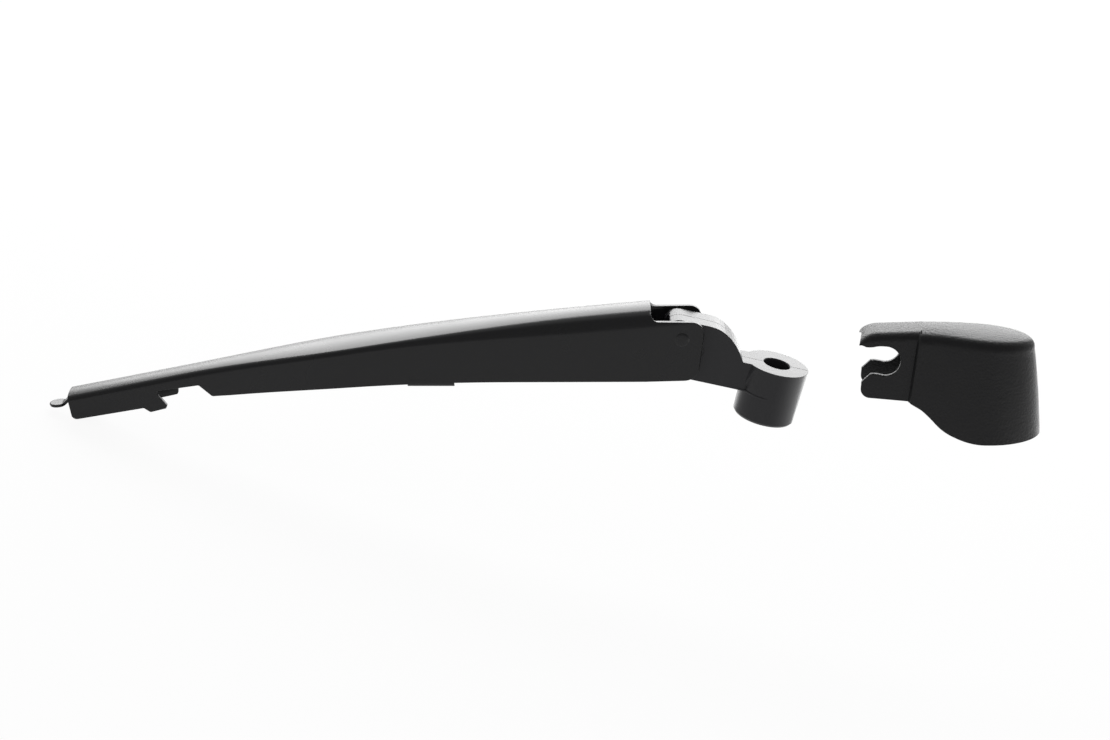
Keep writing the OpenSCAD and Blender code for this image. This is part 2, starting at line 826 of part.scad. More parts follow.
// Side view of the nose of the ears, rounded off above the notch
nose_steps = 8;

function ear_nose() = concat(
    [for (i = [0:nose_steps])
        bezier2([-ear_front, 5], [-ear_front + 1.2, ear_top - 0.9], [-1, ear_top], i / nose_steps)],
    [[-1, 20], [-ear_front - 5, 20], [-ear_front - 5, 5]]
);

// Clip notch: a round seat behind two lips, the lower one flaring downwards
upper_lip_z = notch_d / 2 - 0.8;
lower_lip_z = upper_lip_z - mouth_w;

function notch_mouth() = [
    [0, notch_d / 2], [-2.4, notch_d / 2 - 0.1], [-4.2, upper_lip_z + 0.2],
    [-5.4, upper_lip_z], [-6.6, upper_lip_z + 0.05], [-7.6, upper_lip_z + 0.5],
    [-ear_front + 0.1, upper_lip_z + 1.2], [-ear_front - 5, upper_lip_z + 1.2],
    [-ear_front - 5, lower_lip_z - 1.6], [-ear_chin - 0.2, lower_lip_z - 1.5],
    [-ear_chin + 1.4, lower_lip_z - 0.8], [-4.4, lower_lip_z - 0.2], [-3.4, lower_lip_z],
    [-2.6, lower_lip_z], [-1.6, lower_lip_z - 0.15], [0, lower_lip_z - 0.2]
];

module clip_notch() {
    cross_cylinder(notch_d, ear_w + 2);
    side_plate(ear_w + 2) polygon(notch_mouth());
}

module cover_cap() {
    color(plastic)
    at_cap()
    difference() {
        intersection() {
            union() {
                ear_block();
                difference() {
                    cap_solid(0);
                    cap_solid(cap_wall);
                    translate([ear_back - 1, -ear_hw + ear_t, -40])
                        cube([cap_wall + 2, ear_w - 2 * ear_t, 40 + ear_top - cap_wall]);
                }
            }
            side_plate(cap_w + 4) polygon(cap_outline());
        }
        side_plate(ear_w + 2) polygon(ear_nose());
        clip_notch();
    }
}

head();
arm_channel();
pivot_pin();
bush_near();
bush_far();
link_pin();
spring_link();
tension_spring();
cover_cap();
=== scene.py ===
"""Looks of a rear window wiper arm: coated steel, grained plastic, plated steel and nylon.

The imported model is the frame. Bare lengths in the code are millimetres, and the scene is in
metres. The arm's own frame has its origin at the pivot, with X along the arm and Z up, and the
cap's own frame has its origin at the centre of the clip notch. Both are turned and moved to the
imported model's frame at the end.
"""

import json
import math

import bmesh
import bpy
import numpy as np
from mathutils import Matrix, Vector


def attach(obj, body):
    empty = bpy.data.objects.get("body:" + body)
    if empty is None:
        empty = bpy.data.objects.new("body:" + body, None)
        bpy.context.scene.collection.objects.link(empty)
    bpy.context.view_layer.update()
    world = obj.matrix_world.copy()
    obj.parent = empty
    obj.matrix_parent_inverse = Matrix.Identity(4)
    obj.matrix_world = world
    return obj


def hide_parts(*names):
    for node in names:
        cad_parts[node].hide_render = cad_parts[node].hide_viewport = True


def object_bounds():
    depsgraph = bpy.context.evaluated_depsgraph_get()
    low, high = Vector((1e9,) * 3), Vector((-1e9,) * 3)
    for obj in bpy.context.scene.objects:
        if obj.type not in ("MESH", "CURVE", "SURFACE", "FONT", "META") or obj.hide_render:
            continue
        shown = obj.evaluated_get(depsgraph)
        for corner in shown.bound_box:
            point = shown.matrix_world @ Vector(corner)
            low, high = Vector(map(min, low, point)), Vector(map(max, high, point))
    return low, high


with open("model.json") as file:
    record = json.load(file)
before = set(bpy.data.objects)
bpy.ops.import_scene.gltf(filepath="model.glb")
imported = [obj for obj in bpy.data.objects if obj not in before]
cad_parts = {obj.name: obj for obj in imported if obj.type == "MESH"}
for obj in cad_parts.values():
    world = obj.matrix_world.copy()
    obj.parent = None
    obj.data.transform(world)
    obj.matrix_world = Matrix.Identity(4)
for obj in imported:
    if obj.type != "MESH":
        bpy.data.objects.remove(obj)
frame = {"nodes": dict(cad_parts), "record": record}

CAD_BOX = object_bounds()
MM = 0.001
# The arm hinge's axis, and the angle in degrees by which the arm falls towards its tip at rest
PIVOT = np.array([-34.75, 0, 4.45])
REST_DROP = 13.0

bl_info = {
    "name": "Rear wiper arm",
    "version": (1, 0, 0),
    "blender": (4, 5, 0),
    "location": "3D View > Sidebar > Wiper arm",
    "description": "Builds the finished surfaces and materials of a sprung rear wiper arm",
    "category": "Object",
}


# ---------------------------------------------------------------- sizes and colours


def length(name, value, description):
    """A length property in metres, from its value in millimetres."""
    return bpy.props.FloatProperty(
        name=name, description=description, default=value * MM, min=0, unit="LENGTH", precision=5
    )


def colour(name, value, description):
    """A colour property, from an sRGB hex value."""
    return bpy.props.FloatVectorProperty(
        name=name, description=description, default=linear(value)[:3], size=3, subtype="COLOR",
        min=0, max=1,
    )


def linear(value):
    """Linear RGBA of an sRGB hex colour: each channel through the sRGB curve."""
    s = np.array([int(value[i : i + 2], 16) for i in (1, 3, 5)]) / 255
    rgb = np.where(s <= 0.04045, s / 12.92, ((s + 0.055) / 1.055) ** 2.4)
    return (*rgb.tolist(), 1.0)


class ShapeSettings(bpy.types.PropertyGroup):
    """Sizes of the surfaces."""

    sheet: length("Arm sheet", 1.5, "Thickness of the pressed channel's sheet")
    edge: length("Edge rounding", 0.15, "Rounding of the sheet's cut edges")
    pin: length("Pin end", 5.2, "Diameter of the staked pin's spread end")
    wire: length("Spring wire", 1.8, "Diameter of the spring's wire")
    coil: length("Spring coil", 9.6, "Outside diameter of the spring's coil")
    turns: bpy.props.IntProperty(
        name="Spring turns", description="Number of close turns", default=20, min=4, max=24
    )
    cap_wall: length("Cap wall", 1.8, "Wall thickness of the cap's hood")
    ear_wall: length("Ear wall", 1.4, "Wall thickness of the cap's clip ears")
    cap_edge: length("Cap edge", 0.2, "Rounding of the cap's moulded edges")


class FinishSettings(bpy.types.PropertyGroup):
    """Colours of the finishes."""

    arm_black: colour("Arm coating", "#212122", "Satin black coating of the pressed channel")
    head_black: colour("Head coating", "#28282a", "Satin black coating of the casting")
    cap_black: colour("Cap plastic", "#1a1a1b", "Moulded-in black of the cap")
    zinc: colour("Zinc plating", "#a6a9a8", "Plated strip of the spring link")
    spring: colour("Spring wire", "#6e6d6b", "Oiled drawn wire")
    nylon: colour("Bush nylon", "#d3d0c2", "Natural nylon of the bushes")


class StageSettings(bpy.types.PropertyGroup):
    """Camera, floor and light."""

    lens: bpy.props.FloatProperty(
        name="Lens", description="Focal length on a 36 mm wide sensor",
        default=77.84, min=10, unit="CAMERA",
    )
    elevation: bpy.props.FloatProperty(
        name="Elevation", description="Camera angle above the level of the photograph",
        default=math.radians(22), subtype="ANGLE",
    )
    roll: bpy.props.FloatProperty(
        name="Roll", description="Turn of the photograph's level against the head's face",
        default=math.radians(13), subtype="ANGLE",
    )
    floor_gap: length("Floor gap", 0.5, "Gap between the lowest point and the floor")
    fill: bpy.props.FloatProperty(
        name="Fill light", description="Strength of the even light from all round",
        default=0.45, min=0,
    )
    back_light: bpy.props.FloatProperty(
        name="Back light", description="Brightness of the long softbox behind the object",
        default=5.6, min=0,
    )
    floor_light: bpy.props.FloatProperty(
        name="Floor light", description="Brightness of the lit floor that the gloss reflects",
        default=1.8, min=0,
    )


# ---------------------------------------------------------------- materials


def new_material(name):
    """An empty material and its node tree."""
    made = bpy.data.materials.new(name)
    made.use_nodes = True
    made.node_tree.nodes.clear()
    return made, made.node_tree


def add(tree, kind, sockets=None, **settings):
    """Adds a node, sets its properties, and fills its sockets with values or links."""
    node = tree.nodes.new(kind)
    for name, value in settings.items():
        setattr(node, name, value)
    for key, value in (sockets or {}).items():
        if isinstance(value, bpy.types.NodeSocket):
            tree.links.new(value, node.inputs[key])
        else:
            node.inputs[key].default_value = value
    return node


def coated_metal(name, base, peel_mm, peel_height_mm, rough, seam_mm=0.0):
    """Black stove-enamelled coating: dark satin with the faint waviness of a sprayed film.

    The waves are peel_mm apart. The film rounds every edge by about a third of a millimetre, so
    edges catch a thin line of light, and its gloss drifts a little over some 24 mm. With a seam,
    the die's parting line shows under the film as a fine ridge along the casting's middle plane.
    """
    patch_mm, film_round_mm, seam_half_mm = 24, 0.35, 0.28
    made, tree = new_material(name)
    where = add(tree, "ShaderNodeTexCoord").outputs["Object"]
    peel = add(
        tree, "ShaderNodeTexNoise",
        {"Vector": where, "Scale": 1 / (peel_mm * MM), "Detail": 2.0, "Roughness": 0.5},
    )
    patches = add(
        tree, "ShaderNodeTexNoise",
        {"Vector": where, "Scale": 1 / (patch_mm * MM), "Detail": 3.0, "Roughness": 0.6},
    )
    gloss = add(
        tree, "ShaderNodeMapRange",
        {"Value": patches.outputs["Fac"], "From Min": 0.15, "From Max": 0.85,
         "To Min": rough - 0.015, "To Max": rough + 0.02},
        interpolation_type="SMOOTHERSTEP",
    )
    film = add(tree, "ShaderNodeBevel", {"Radius": film_round_mm * MM}, samples=6)
    normal = film.outputs["Normal"]
    if seam_mm:
        apart = add(tree, "ShaderNodeSeparateXYZ", {"Vector": where})
        off = add(tree, "ShaderNodeMath", {0: apart.outputs["Y"]}, operation="ABSOLUTE")
        ridge = add(
            tree, "ShaderNodeMapRange",
            {"Value": off.outputs["Value"], "From Max": seam_half_mm * MM,
             "To Min": 1.0, "To Max": 0.0},
            interpolation_type="SMOOTHSTEP",
        )
        normal = add(
            tree, "ShaderNodeBump",
            {"Strength": 1.0, "Distance": seam_mm * MM, "Height": ridge.outputs["Result"],
             "Normal": normal},
        ).outputs["Normal"]
    bump = add(
        tree, "ShaderNodeBump",
        {"Strength": 1.0, "Distance": peel_height_mm * MM, "Height": peel.outputs["Fac"],
         "Normal": normal},
    )
    surface = add(
        tree, "ShaderNodeBsdfPrincipled",
        {"Base Color": base, "Roughness": gloss.outputs["Result"], "Metallic": 0.0,
         "IOR": 1.5, "Specular IOR Level": 0.22, "Normal": bump.outputs["Normal"]},
    )
    add(tree, "ShaderNodeOutputMaterial", {"Surface": surface.outputs["BSDF"]})
    return made


def grained_plastic(name, base):
    """Glass-filled nylon moulded in a photo-etched tool: matt black with a fine leather grain.

    The grain's cells are about 0.7 mm across, with a finer roughness between them. They break
    the highlight up into a soft sheen.
    """
    cell_mm, fine_mm, depth_mm, corner_mm = 0.7, 0.35, 0.09, 0.4
    made, tree = new_material(name)
    where = add(tree, "ShaderNodeTexCoord").outputs["Object"]
    cells = add(
        tree, "ShaderNodeTexVoronoi",
        {"Vector": where, "Scale": 1 / (cell_mm * MM), "Smoothness": 0.6, "Randomness": 1.0},
        feature="SMOOTH_F1",
    )
    fine = add(
        tree, "ShaderNodeTexNoise",
        {"Vector": where, "Scale": 1 / (fine_mm * MM), "Detail": 3.0, "Roughness": 0.6},
    )
    both = add(
        tree, "ShaderNodeMath",
        {0: cells.outputs["Distance"], 1: fine.outputs["Fac"]}, operation="ADD",
    )
    soft_edge = add(tree, "ShaderNodeBevel", {"Radius": corner_mm * MM}, samples=6)
    bump = add(
        tree, "ShaderNodeBump",
        {"Strength": 1.0, "Distance": depth_mm * MM, "Height": both.outputs["Value"],
         "Normal": soft_edge.outputs["Normal"]},
    )
    surface = add(
        tree, "ShaderNodeBsdfPrincipled",
        {"Base Color": base, "Roughness": 0.42, "Metallic": 0.0,
         "IOR": 1.5, "Specular IOR Level": 0.19, "Normal": bump.outputs["Normal"]},
    )
    add(tree, "ShaderNodeOutputMaterial", {"Surface": surface.outputs["BSDF"]})
    return made


def plated_steel(name, base):
    """Zinc-plated strip with a clear passivation: pale grey, blotchy over some 5 mm.

    The rolling lines are drawn 0.4 mm apart, coarser than real, so that they show.
    """
    blotch_mm, line_mm = 5, 0.4
    made, tree = new_material(name)
    where = add(tree, "ShaderNodeTexCoord").outputs["Object"]
    rolled = add(
        tree, "ShaderNodeMapping", {"Vector": where, "Scale": (0.12, 1.0, 1.0)},
        vector_type="POINT",
    )
    grain = add(
        tree, "ShaderNodeTexNoise",
        {"Vector": rolled.outputs["Vector"], "Scale": 1 / (line_mm * MM), "Detail": 3.0},
    )
    blotch = add(
        tree, "ShaderNodeTexNoise",
        {"Vector": where, "Scale": 1 / (blotch_mm * MM), "Detail": 4.0},
    )
    tint = add(
        tree, "ShaderNodeMix",
        {"Factor": blotch.outputs["Fac"], "A": [c * 0.72 for c in base[:3]] + [1], "B": base},
        data_type="RGBA",
    )
    gloss = add(
        tree, "ShaderNodeMapRange",
        {"Value": grain.outputs["Fac"], "From Min": 0.3, "From Max": 0.7,
         "To Min": 0.3, "To Max": 0.46},
    )
    surface = add(
        tree, "ShaderNodeBsdfPrincipled",
        {"Base Color": tint.outputs["Result"], "Metallic": 1.0,
         "Roughness": gloss.outputs["Result"]},
    )
    add(tree, "ShaderNodeOutputMaterial", {"Surface": surface.outputs["BSDF"]})
    return made


def drawn_wire(name, base):
    """Oiled spring wire, cold drawn and coiled: dark bright metal under an uneven film of oil.

    The film gathers in patches some 1.6 mm across, which drift the gloss.
    """
    patch_mm = 1.6
    made, tree = new_material(name)
    where = add(tree, "ShaderNodeTexCoord").outputs["Object"]
    film = add(
        tree, "ShaderNodeTexNoise",
        {"Vector": where, "Scale": 1 / (patch_mm * MM), "Detail": 4.0},
    )
    gloss = add(
        tree, "ShaderNodeMapRange",
        {"Value": film.outputs["Fac"], "From Min": 0.3, "From Max": 0.7,
         "To Min": 0.22, "To Max": 0.4},
    )
    surface = add(
        tree, "ShaderNodeBsdfPrincipled",
        {"Base Color": base, "Metallic": 1.0, "Roughness": gloss.outputs["Result"]},
    )
    add(tree, "ShaderNodeOutputMaterial", {"Surface": surface.outputs["BSDF"]})
    return made


def natural_nylon(name, base):
    """Unpigmented injection-moulded nylon: milky, waxy, with light sinking a little way in.

    Its cloudiness changes over some 2 mm.
    """
    cloud_mm, sink_mm = 2, 0.8
    made, tree = new_material(name)
    where = add(tree, "ShaderNodeTexCoord").outputs["Object"]
    cloud = add(
        tree, "ShaderNodeTexNoise",
        {"Vector": where, "Scale": 1 / (cloud_mm * MM), "Detail": 3.0},
    )
    tint = add(
        tree, "ShaderNodeMix",
        {"Factor": cloud.outputs["Fac"], "A": [c * 0.9 for c in base[:3]] + [1], "B": base},
        data_type="RGBA",
    )
    surface = add(
        tree, "ShaderNodeBsdfPrincipled",
        {"Base Color": tint.outputs["Result"], "Roughness": 0.42, "IOR": 1.53,
         "Subsurface Weight": 0.25, "Subsurface Radius": (1.0, 0.9, 0.8),
         "Subsurface Scale": sink_mm * MM},
    )
    add(tree, "ShaderNodeOutputMaterial", {"Surface": surface.outputs["BSDF"]})
    return made


def looked_at(tree):
    """A socket that is 1 for camera, glossy and transmission rays, 0 for the rays that light."""
    path = add(tree, "ShaderNodeLightPath")
    seen = path.outputs["Is Camera Ray"]
    for kind in ("Is Glossy Ray", "Is Transmission Ray"):
        both = add(tree, "ShaderNodeMath", {0: seen, 1: path.outputs[kind]}, operation="MAXIMUM")
        seen = both.outputs["Value"]
    return seen


def pale_floor(name):
    """Seamless white studio paper: white to the eye and in reflections, with a faint shadow."""
    made, tree = new_material(name)
    glow_share = 0.92
    share = add(tree, "ShaderNodeMath", {0: looked_at(tree), 1: glow_share}, operation="MULTIPLY")
    paper = add(tree, "ShaderNodeBsdfDiffuse", {"Color": linear("#f4f4f4")})
    glow = add(tree, "ShaderNodeEmission", {"Color": (1, 1, 1, 1), "Strength": 1.0})
    both = add(
        tree, "ShaderNodeMixShader",
        {"Fac": share.outputs["Value"], 1: paper.outputs["BSDF"], 2: glow.outputs["Emission"]},
    )
    add(tree, "ShaderNodeOutputMaterial", {"Surface": both.outputs["Shader"]})
    return made


def dim_wall(name):
    """The studio's unlit side: an even, dim grey glow, a painted reflection of the studio's dark
    surroundings.
    """
    made, tree = new_material(name)
    # Painted reflection: a dim glow that stands in for the shade of the studio's dark side
    glow = add(tree, "ShaderNodeEmission", {"Color": (1, 1, 1, 1), "Strength": 0.3})
    add(tree, "ShaderNodeOutputMaterial", {"Surface": glow.outputs["Emission"]})
    return made


def white_world(fill):
    """World light: an even fill for the surfaces, and white for what the camera sees past them."""
    world = bpy.data.worlds.new("studio_white")
    bpy.context.scene.world = world
    world.use_nodes = True
    tree = world.node_tree
    tree.nodes.clear()
    strength = add(
        tree, "ShaderNodeMapRange", {"Value": looked_at(tree), "To Min": fill, "To Max": 1.0}
    )
    glow = add(
        tree, "ShaderNodeBackground", {"Color": (1, 1, 1, 1), "Strength": strength.outputs[0]}
    )
    add(tree, "ShaderNodeOutputWorld", {"Surface": glow.outputs["Background"]})


def finish_of(slot_name):
    """The material for one of the record's slots, made once."""
    colours = bpy.context.scene.wiper_finish
    name, base, make, settings = {
        "arm_paint": (
            "satin_enamel_on_pressed_steel", colours.arm_black, coated_metal,
            {"peel_mm": 2.2, "peel_height_mm": 0.003, "rough": 0.28},
        ),
        "head_paint": (
            "satin_enamel_on_die_casting", colours.head_black, coated_metal,
            {"peel_mm": 1.4, "peel_height_mm": 0.005, "rough": 0.3, "seam_mm": 0.06},
        ),
        "cap_plastic": ("grained_filled_nylon", colours.cap_black, grained_plastic, {}),
        "link_steel": ("zinc_plated_strip", colours.zinc, plated_steel, {}),
        "spring_steel": ("oiled_drawn_wire", colours.spring, drawn_wire, {}),
        "bush_nylon": ("natural_moulded_nylon", colours.nylon, natural_nylon, {}),
    }[slot_name]
    return bpy.data.materials.get(name) or make(name, (*base, 1.0), **settings)


def dress(obj, slot_name):
    """Gives an object the finish of a slot, as its only material."""
    obj.data.materials.clear()
    obj.data.materials.append(finish_of(slot_name))
    return obj


# ---------------------------------------------------------------- surfaces


def rounded_line(rows, steps=9):
    """A line through corners, each replaced by an arc that touches both of its sides.

    Each row is (t at the arc's start, t at its end, x, z, radius). Returns t, x and z along
    the line. A row of radius 0 is a sharp corner or an end.
    """
    corner = np.array([r[2:4] for r in rows], float)
    t, line = [], []
    for i, (start, end, _, _, radius) in enumerate(rows):
        if radius == 0:
            t.append([start])
            line.append(corner[i : i + 1])
            continue
        u = corner[i - 1] - corner[i]
        v = corner[i + 1] - corner[i]
        u, v = u / np.linalg.norm(u), v / np.linalg.norm(v)
        half = np.arccos(np.clip(u @ v, -1, 1)) / 2
        centre = corner[i] + (u + v) / np.linalg.norm(u + v) * radius / np.sin(half)
        p = corner[i] + u * radius / np.tan(half) - centre
        q = corner[i] + v * radius / np.tan(half) - centre
        turn = math.atan2(p[0] * q[1] - p[1] * q[0], p @ q)
        a = math.atan2(p[1], p[0]) + turn * np.linspace(0, 1, steps)
        t.append(np.linspace(start, end, steps))
        line.append(centre + radius * np.column_stack([np.cos(a), np.sin(a)]))
    t, line = np.concatenate(t), np.concatenate(line)
    return t, line[:, 0], line[:, 1]


def on_line(line, t):
    """Points (x, z) of a rounded line at the stations t."""
    return np.stack([np.interp(t, line[0], line[1]), np.interp(t, line[0], line[2])], -1)


def stations(*lines, first, last, widest=1.4, finest=0.06):
    """All the lines' own t values, thinned to the finest step, with wide gaps filled in."""
    t = np.unique(np.round(np.concatenate([*lines, [first, last]]) / finest)) * finest
    t = t[(t > first - finest / 2) & (t < last + finest / 2)]
    parts = [
        np.linspace(a, b, max(2, math.ceil((b - a) / widest) + 1))[:-1] for a, b in zip(t, t[1:])
    ]
    return np.concatenate([*parts, t[-1:]])


def grid_quads(rows, cols, wrap=False):
    """Quads between the points of a grid. With wrap the last column meets the first."""
    index = np.arange(rows * cols).reshape(rows, cols)
    if wrap:
        index = np.column_stack([index, index[:, 0]])
    return np.stack([index[:-1, :-1], index[:-1, 1:], index[1:, 1:], index[1:, :-1]], -1)


def shell(outer, inner, keep=None):
    """Points and faces of a closed wall between two grids of points.

    The kept quads of the outer grid, the same quads of the inner grid turned round, and a rim
    quad along every edge that only one kept quad uses. An edge on the middle plane gets no rim,
    because the other half joins it there.
    """
    rows, cols = outer.shape[:2]
    quads = grid_quads(rows, cols)
    quads = quads.reshape(-1, 4) if keep is None else quads[keep]
    edges = np.concatenate([quads[:, [k, (k + 1) % 4]] for k in range(4)])
    key = edges.min(1) * rows * cols + edges.max(1)
    _, first, count = np.unique(key, return_index=True, return_counts=True)
    rim = edges[first[count == 1]]
    rim = rim[np.abs(outer.reshape(-1, 3)[rim][:, :, 1]).max(1) > 1e-6]
    far = rows * cols
    rim = np.column_stack([rim[:, 1], rim[:, 0], rim[:, 0] + far, rim[:, 1] + far])
    faces = np.concatenate([quads, quads[:, ::-1] + far, rim])
    used, faces = np.unique(faces, return_inverse=True)
    points = np.concatenate([outer.reshape(-1, 3), inner.reshape(-1, 3)])[used]
    return outward(points, faces.reshape(-1, 4))


def tube(grid):
    """Points and faces of one skin over a grid whose last column meets the first."""
    return outward(grid.reshape(-1, 3), grid_quads(*grid.shape[:2], wrap=True).reshape(-1, 4))


def outward(points, faces):
    """The same mesh with its faces turned to point outwards: the enclosed volume is positive."""
    a, b, c, d = (points[faces[:, k]] for k in range(4))
    volume = (np.cross(b - a, c - a) * a).sum() + (np.cross(c - a, d - a) * a).sum()
    return points, (faces if volume > 0 else faces[:, ::-1])


def joined(*meshes):
    """Several (points, faces) as one."""
    start = np.cumsum([0] + [len(points) for points, _ in meshes])
    return (
        np.concatenate([points for points, _ in meshes]),
        np.concatenate([faces + n for (_, faces), n in zip(meshes, start)]),
    )


def turned(points, degrees, origin=(0, 0, 0)):
    """Points turned about Y so that +X rises by the angle, then moved to the origin."""
    c, s = math.cos(math.radians(degrees)), math.sin(math.radians(degrees))
    x, y, z = points.T
    return np.column_stack([x * c - z * s, y, x * s + z * c]) + origin


def piece(name, points, faces, slot_name, body, nodes, edge=0.0):
    """A mesh object from points in millimetres, with its finish, its body and what it replaces.

    Points that fall together are merged, and with an edge the sharp edges are rounded by it.
    """
    mesh = bpy.data.meshes.new(name)
    mesh.from_pydata((points * MM).tolist(), [], faces.tolist())
    merged = bmesh.new()
    merged.from_mesh(mesh)
    bmesh.ops.remove_doubles(merged, verts=merged.verts, dist=0.001 * MM)
    merged.to_mesh(mesh)
    merged.free()
    mesh.polygons.foreach_set("use_smooth", np.ones(len(mesh.polygons), bool))
    mesh.update()
    obj = bpy.data.objects.new(name, mesh)
    bpy.context.scene.collection.objects.link(obj)
    if edge:
        rim = obj.modifiers.new("edge", "BEVEL")
        rim.width = edge * MM
        rim.segments = 2
        rim.limit_method = "ANGLE"
        rim.angle_limit = math.radians(50)
        rim.use_clamp_overlap = False
        rim.harden_normals = True
    dress(obj, slot_name)
    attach(obj, body)
    if nodes:
        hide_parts(*nodes)
    return obj


def smooth(s):
    """An even S-curve from 0 to 1."""
    s = np.clip(s, 0, 1)
    return s * s * (3 - 2 * s)


# ---------------------------------------------------------------- arm channel


# Place along the arm of the top wall's cut end, and the height at which that cut leaves the
# shoulder's arc
WINDOW_X, WINDOW_Z = -10.4, 8.72
# Rows of a column up a straight wall, as shares of its height, and along the arc to the cut
WALL_ROWS = np.array([0, 0.2, 0.4, 0.6, 0.8])
ARC_ROWS = 8


class Channel:
    """Section of the pressed channel at each place along the arm, in the arm's own frame."""

    sheet = 1.5
    # Slope of the top's halves at their outer ends: each falls to its side as a shallow parabola
    crown = math.radians(9)
    # The top's straight runs end at tip and head, and would meet at bend
    tip = (-170.0, -14.16)
    bend = (-90.4, 2.39)
    head = (-15.0, 9.03)

    @classmethod
    def half_width(cls, x):
        """9 at the pivot, easing to 8.8 where the taper starts and on to 5.6 over the tip."""
        taper = 5.6 + 3.2 * smooth((x + 168) / 56)
        return np.where(x > -112, 8.8 + 0.2 * np.clip((x + 112) / 92, 0, 1), taper)

    @classmethod
    def radius(cls, x):
        """Shoulder radius: 2 over the tip, growing to 5.5 at the pivot."""
        return 2 + 3.5 * smooth((x + 112) / 87)

    @classmethod
    def top(cls, x):
        """Height of the top: two straight runs and one parabola that touches both."""
        (x0, z0), (x1, z1), (x2, z2) = cls.tip, cls.bend, cls.head
        a, b = x0 - 2 * x1 + x2, 2 * (x1 - x0)
        inside = np.clip(x, x0, x2)
        s = (-b + np.sqrt(b * b - 4 * a * (x0 - inside))) / (2 * a)
        z = (1 - s) ** 2 * z0 + 2 * s * (1 - s) * z1 + s * s * z2
        slope_tip, slope_head = (z1 - z0) / (x1 - x0), (z2 - z1) / (x2 - x1)
        return z + slope_tip * np.minimum(x - x0, 0) + slope_head * np.maximum(x - x2, 0)

    @classmethod
    def flat(cls, x):
        """Half width of the crowned top, out to where the shoulder's arc takes over."""
        r = cls.radius(x)
        return cls.half_width(x) - r + r * math.sin(cls.crown)

    @classmethod
    def centre(cls, x):
        """Height of the shoulder arc's centre: the crown's fall and the radius below the top."""
        fall = cls.flat(x) * math.tan(cls.crown) / 2
        return cls.top(x) - fall - cls.radius(x) * math.cos(cls.crown)


def lower_edge():
    """The arm's lower edge from the recess to the pivot: a parabola and a straight run."""
    s = np.linspace(0, 1, 13)[:, None]
    a, b, c = np.array([[-152, -21.15], [-104.3, -15.57], [-60, -15.35]])
    curve = (1 - s) ** 2 * a + 2 * s * (1 - s) * b + s * s * c
    return [(x, x, x, z, 0) for x, z in curve.tolist()] + [(-12, -12, -12, -15.15, 0)]


def wall_edges():
    """Edges of the two walls: near, far and the window's, each as rows of rounded_line."""
    head_end = [(0.6, 7.0, 5.5, -14.65, 5.0), (9, 9, 6.2, -9, 0)]
    recess = [(-163.2, -162.2, -162.6, -17.8, 1.0), (-159.0, -157.6, -158.2, -21.7, 1.2)]
    near = [
        (-209, -209, -206.35, -28.8, 0),
        (-207.2, -204.6, -206, -30.5, 1.8),
        (-187.0, -186.2, -181.6, -26.15, 0.8),
        (-185.2, -184.4, -179.4, -27.65, 0.9),
        (-183.2, -182.8, -174.08, -26.25, 0.35),
        (-182.4, -181.6, -173.6, -25.2, 0.7),
        (-179.8, -179.3, -176.8, -21.1, 0.4),
        (-178.3, -178.0, -176.9, -19.98, 0.3),
        *recess, *lower_edge(), *head_end,
    ]
    far = [
        (-209, -209, -205.1, -28.8, 0),
        (-207.2, -204.6, -205, -30.3, 1.5),
        (-187.0, -186.2, -181.6, -26.15, 0.8),
        (-185.2, -184.4, -180.2, -27.05, 0.6),
        (-175.6, -174.6, -171.3, -24.95, 0.8),
        (-172.2, -171.6, -170.9, -19.1, 0.4),
        *recess, *lower_edge(), *head_end,
    ]
    window = [
        (WINDOW_X, WINDOW_X, WINDOW_X, WINDOW_Z, 0),
        (WINDOW_X, -8.3, WINDOW_X, 6.1, 2.6),
        (4.0, 7.0, 7.9, 6.1, 4.0),
        (9, 9, 7.26, 1.0, 0),
    ]
    return rounded_line(near), rounded_line(far), rounded_line(window)


def channel_shell():
    """The pressed channel: a grid whose rows run along the arm and whose columns cross it.

    A column rises from the near wall's lower edge straight to the shoulder, goes round the
    shoulder's arc, across the crowned top, and down the far side the same way. Past the
    window's edge the top is left out, and each wall's column ends at the window's edge instead.
    The inner skin is the outer one moved in by the sheet's thickness along the section's normal.
    """
    near, far, window = wall_edges()
    t = stations(near[0], far[0], window[0], first=-207.18, last=7.02)
    split = int(np.searchsorted(t, WINDOW_X - 1e-6))
    t[split] = WINDOW_X
    cut = math.asin((WINDOW_Z - Channel.centre(WINDOW_X)) / Channel.radius(WINDOW_X))
    last = math.pi / 2 - Channel.crown
    angles = np.concatenate([np.linspace(0, cut, ARC_ROWS + 1), np.linspace(cut, last, 5)[1:]])
    cut_row = len(WALL_ROWS) + ARC_ROWS
    skins = [
        side_grid(line, window, t, split, angles, side) for line, side in ((near, -1), (far, 1))
    ]
    across = np.linspace(-1, 1, 13)[1:-1, None]
    x = np.broadcast_to(t[: split + 1], (len(across), split + 1))
    tilt = across * math.tan(Channel.crown)
    y = across * Channel.flat(x)
    z = Channel.top(x) - y * tilt / 2
    top = np.zeros((len(across), len(t), 3))
    top[:, : split + 1] = np.stack([end_shift(x, y, z, x), y, z], -1)
    up = np.zeros_like(top)
    up[:] = np.stack([0 * tilt, tilt, 0 * tilt + 1], -1) / np.sqrt(1 + tilt[..., None] ** 2)
    outer = np.concatenate([skins[0][0], top, skins[1][0][::-1]])
    inward = np.concatenate([skins[0][1], -Channel.sheet * up, skins[1][1][::-1]])
    keep = np.ones((len(outer) - 1, len(t) - 1), bool)
    keep[cut_row : len(outer) - 1 - cut_row, split:] = False
    return shell(outer, outer + inward, keep)


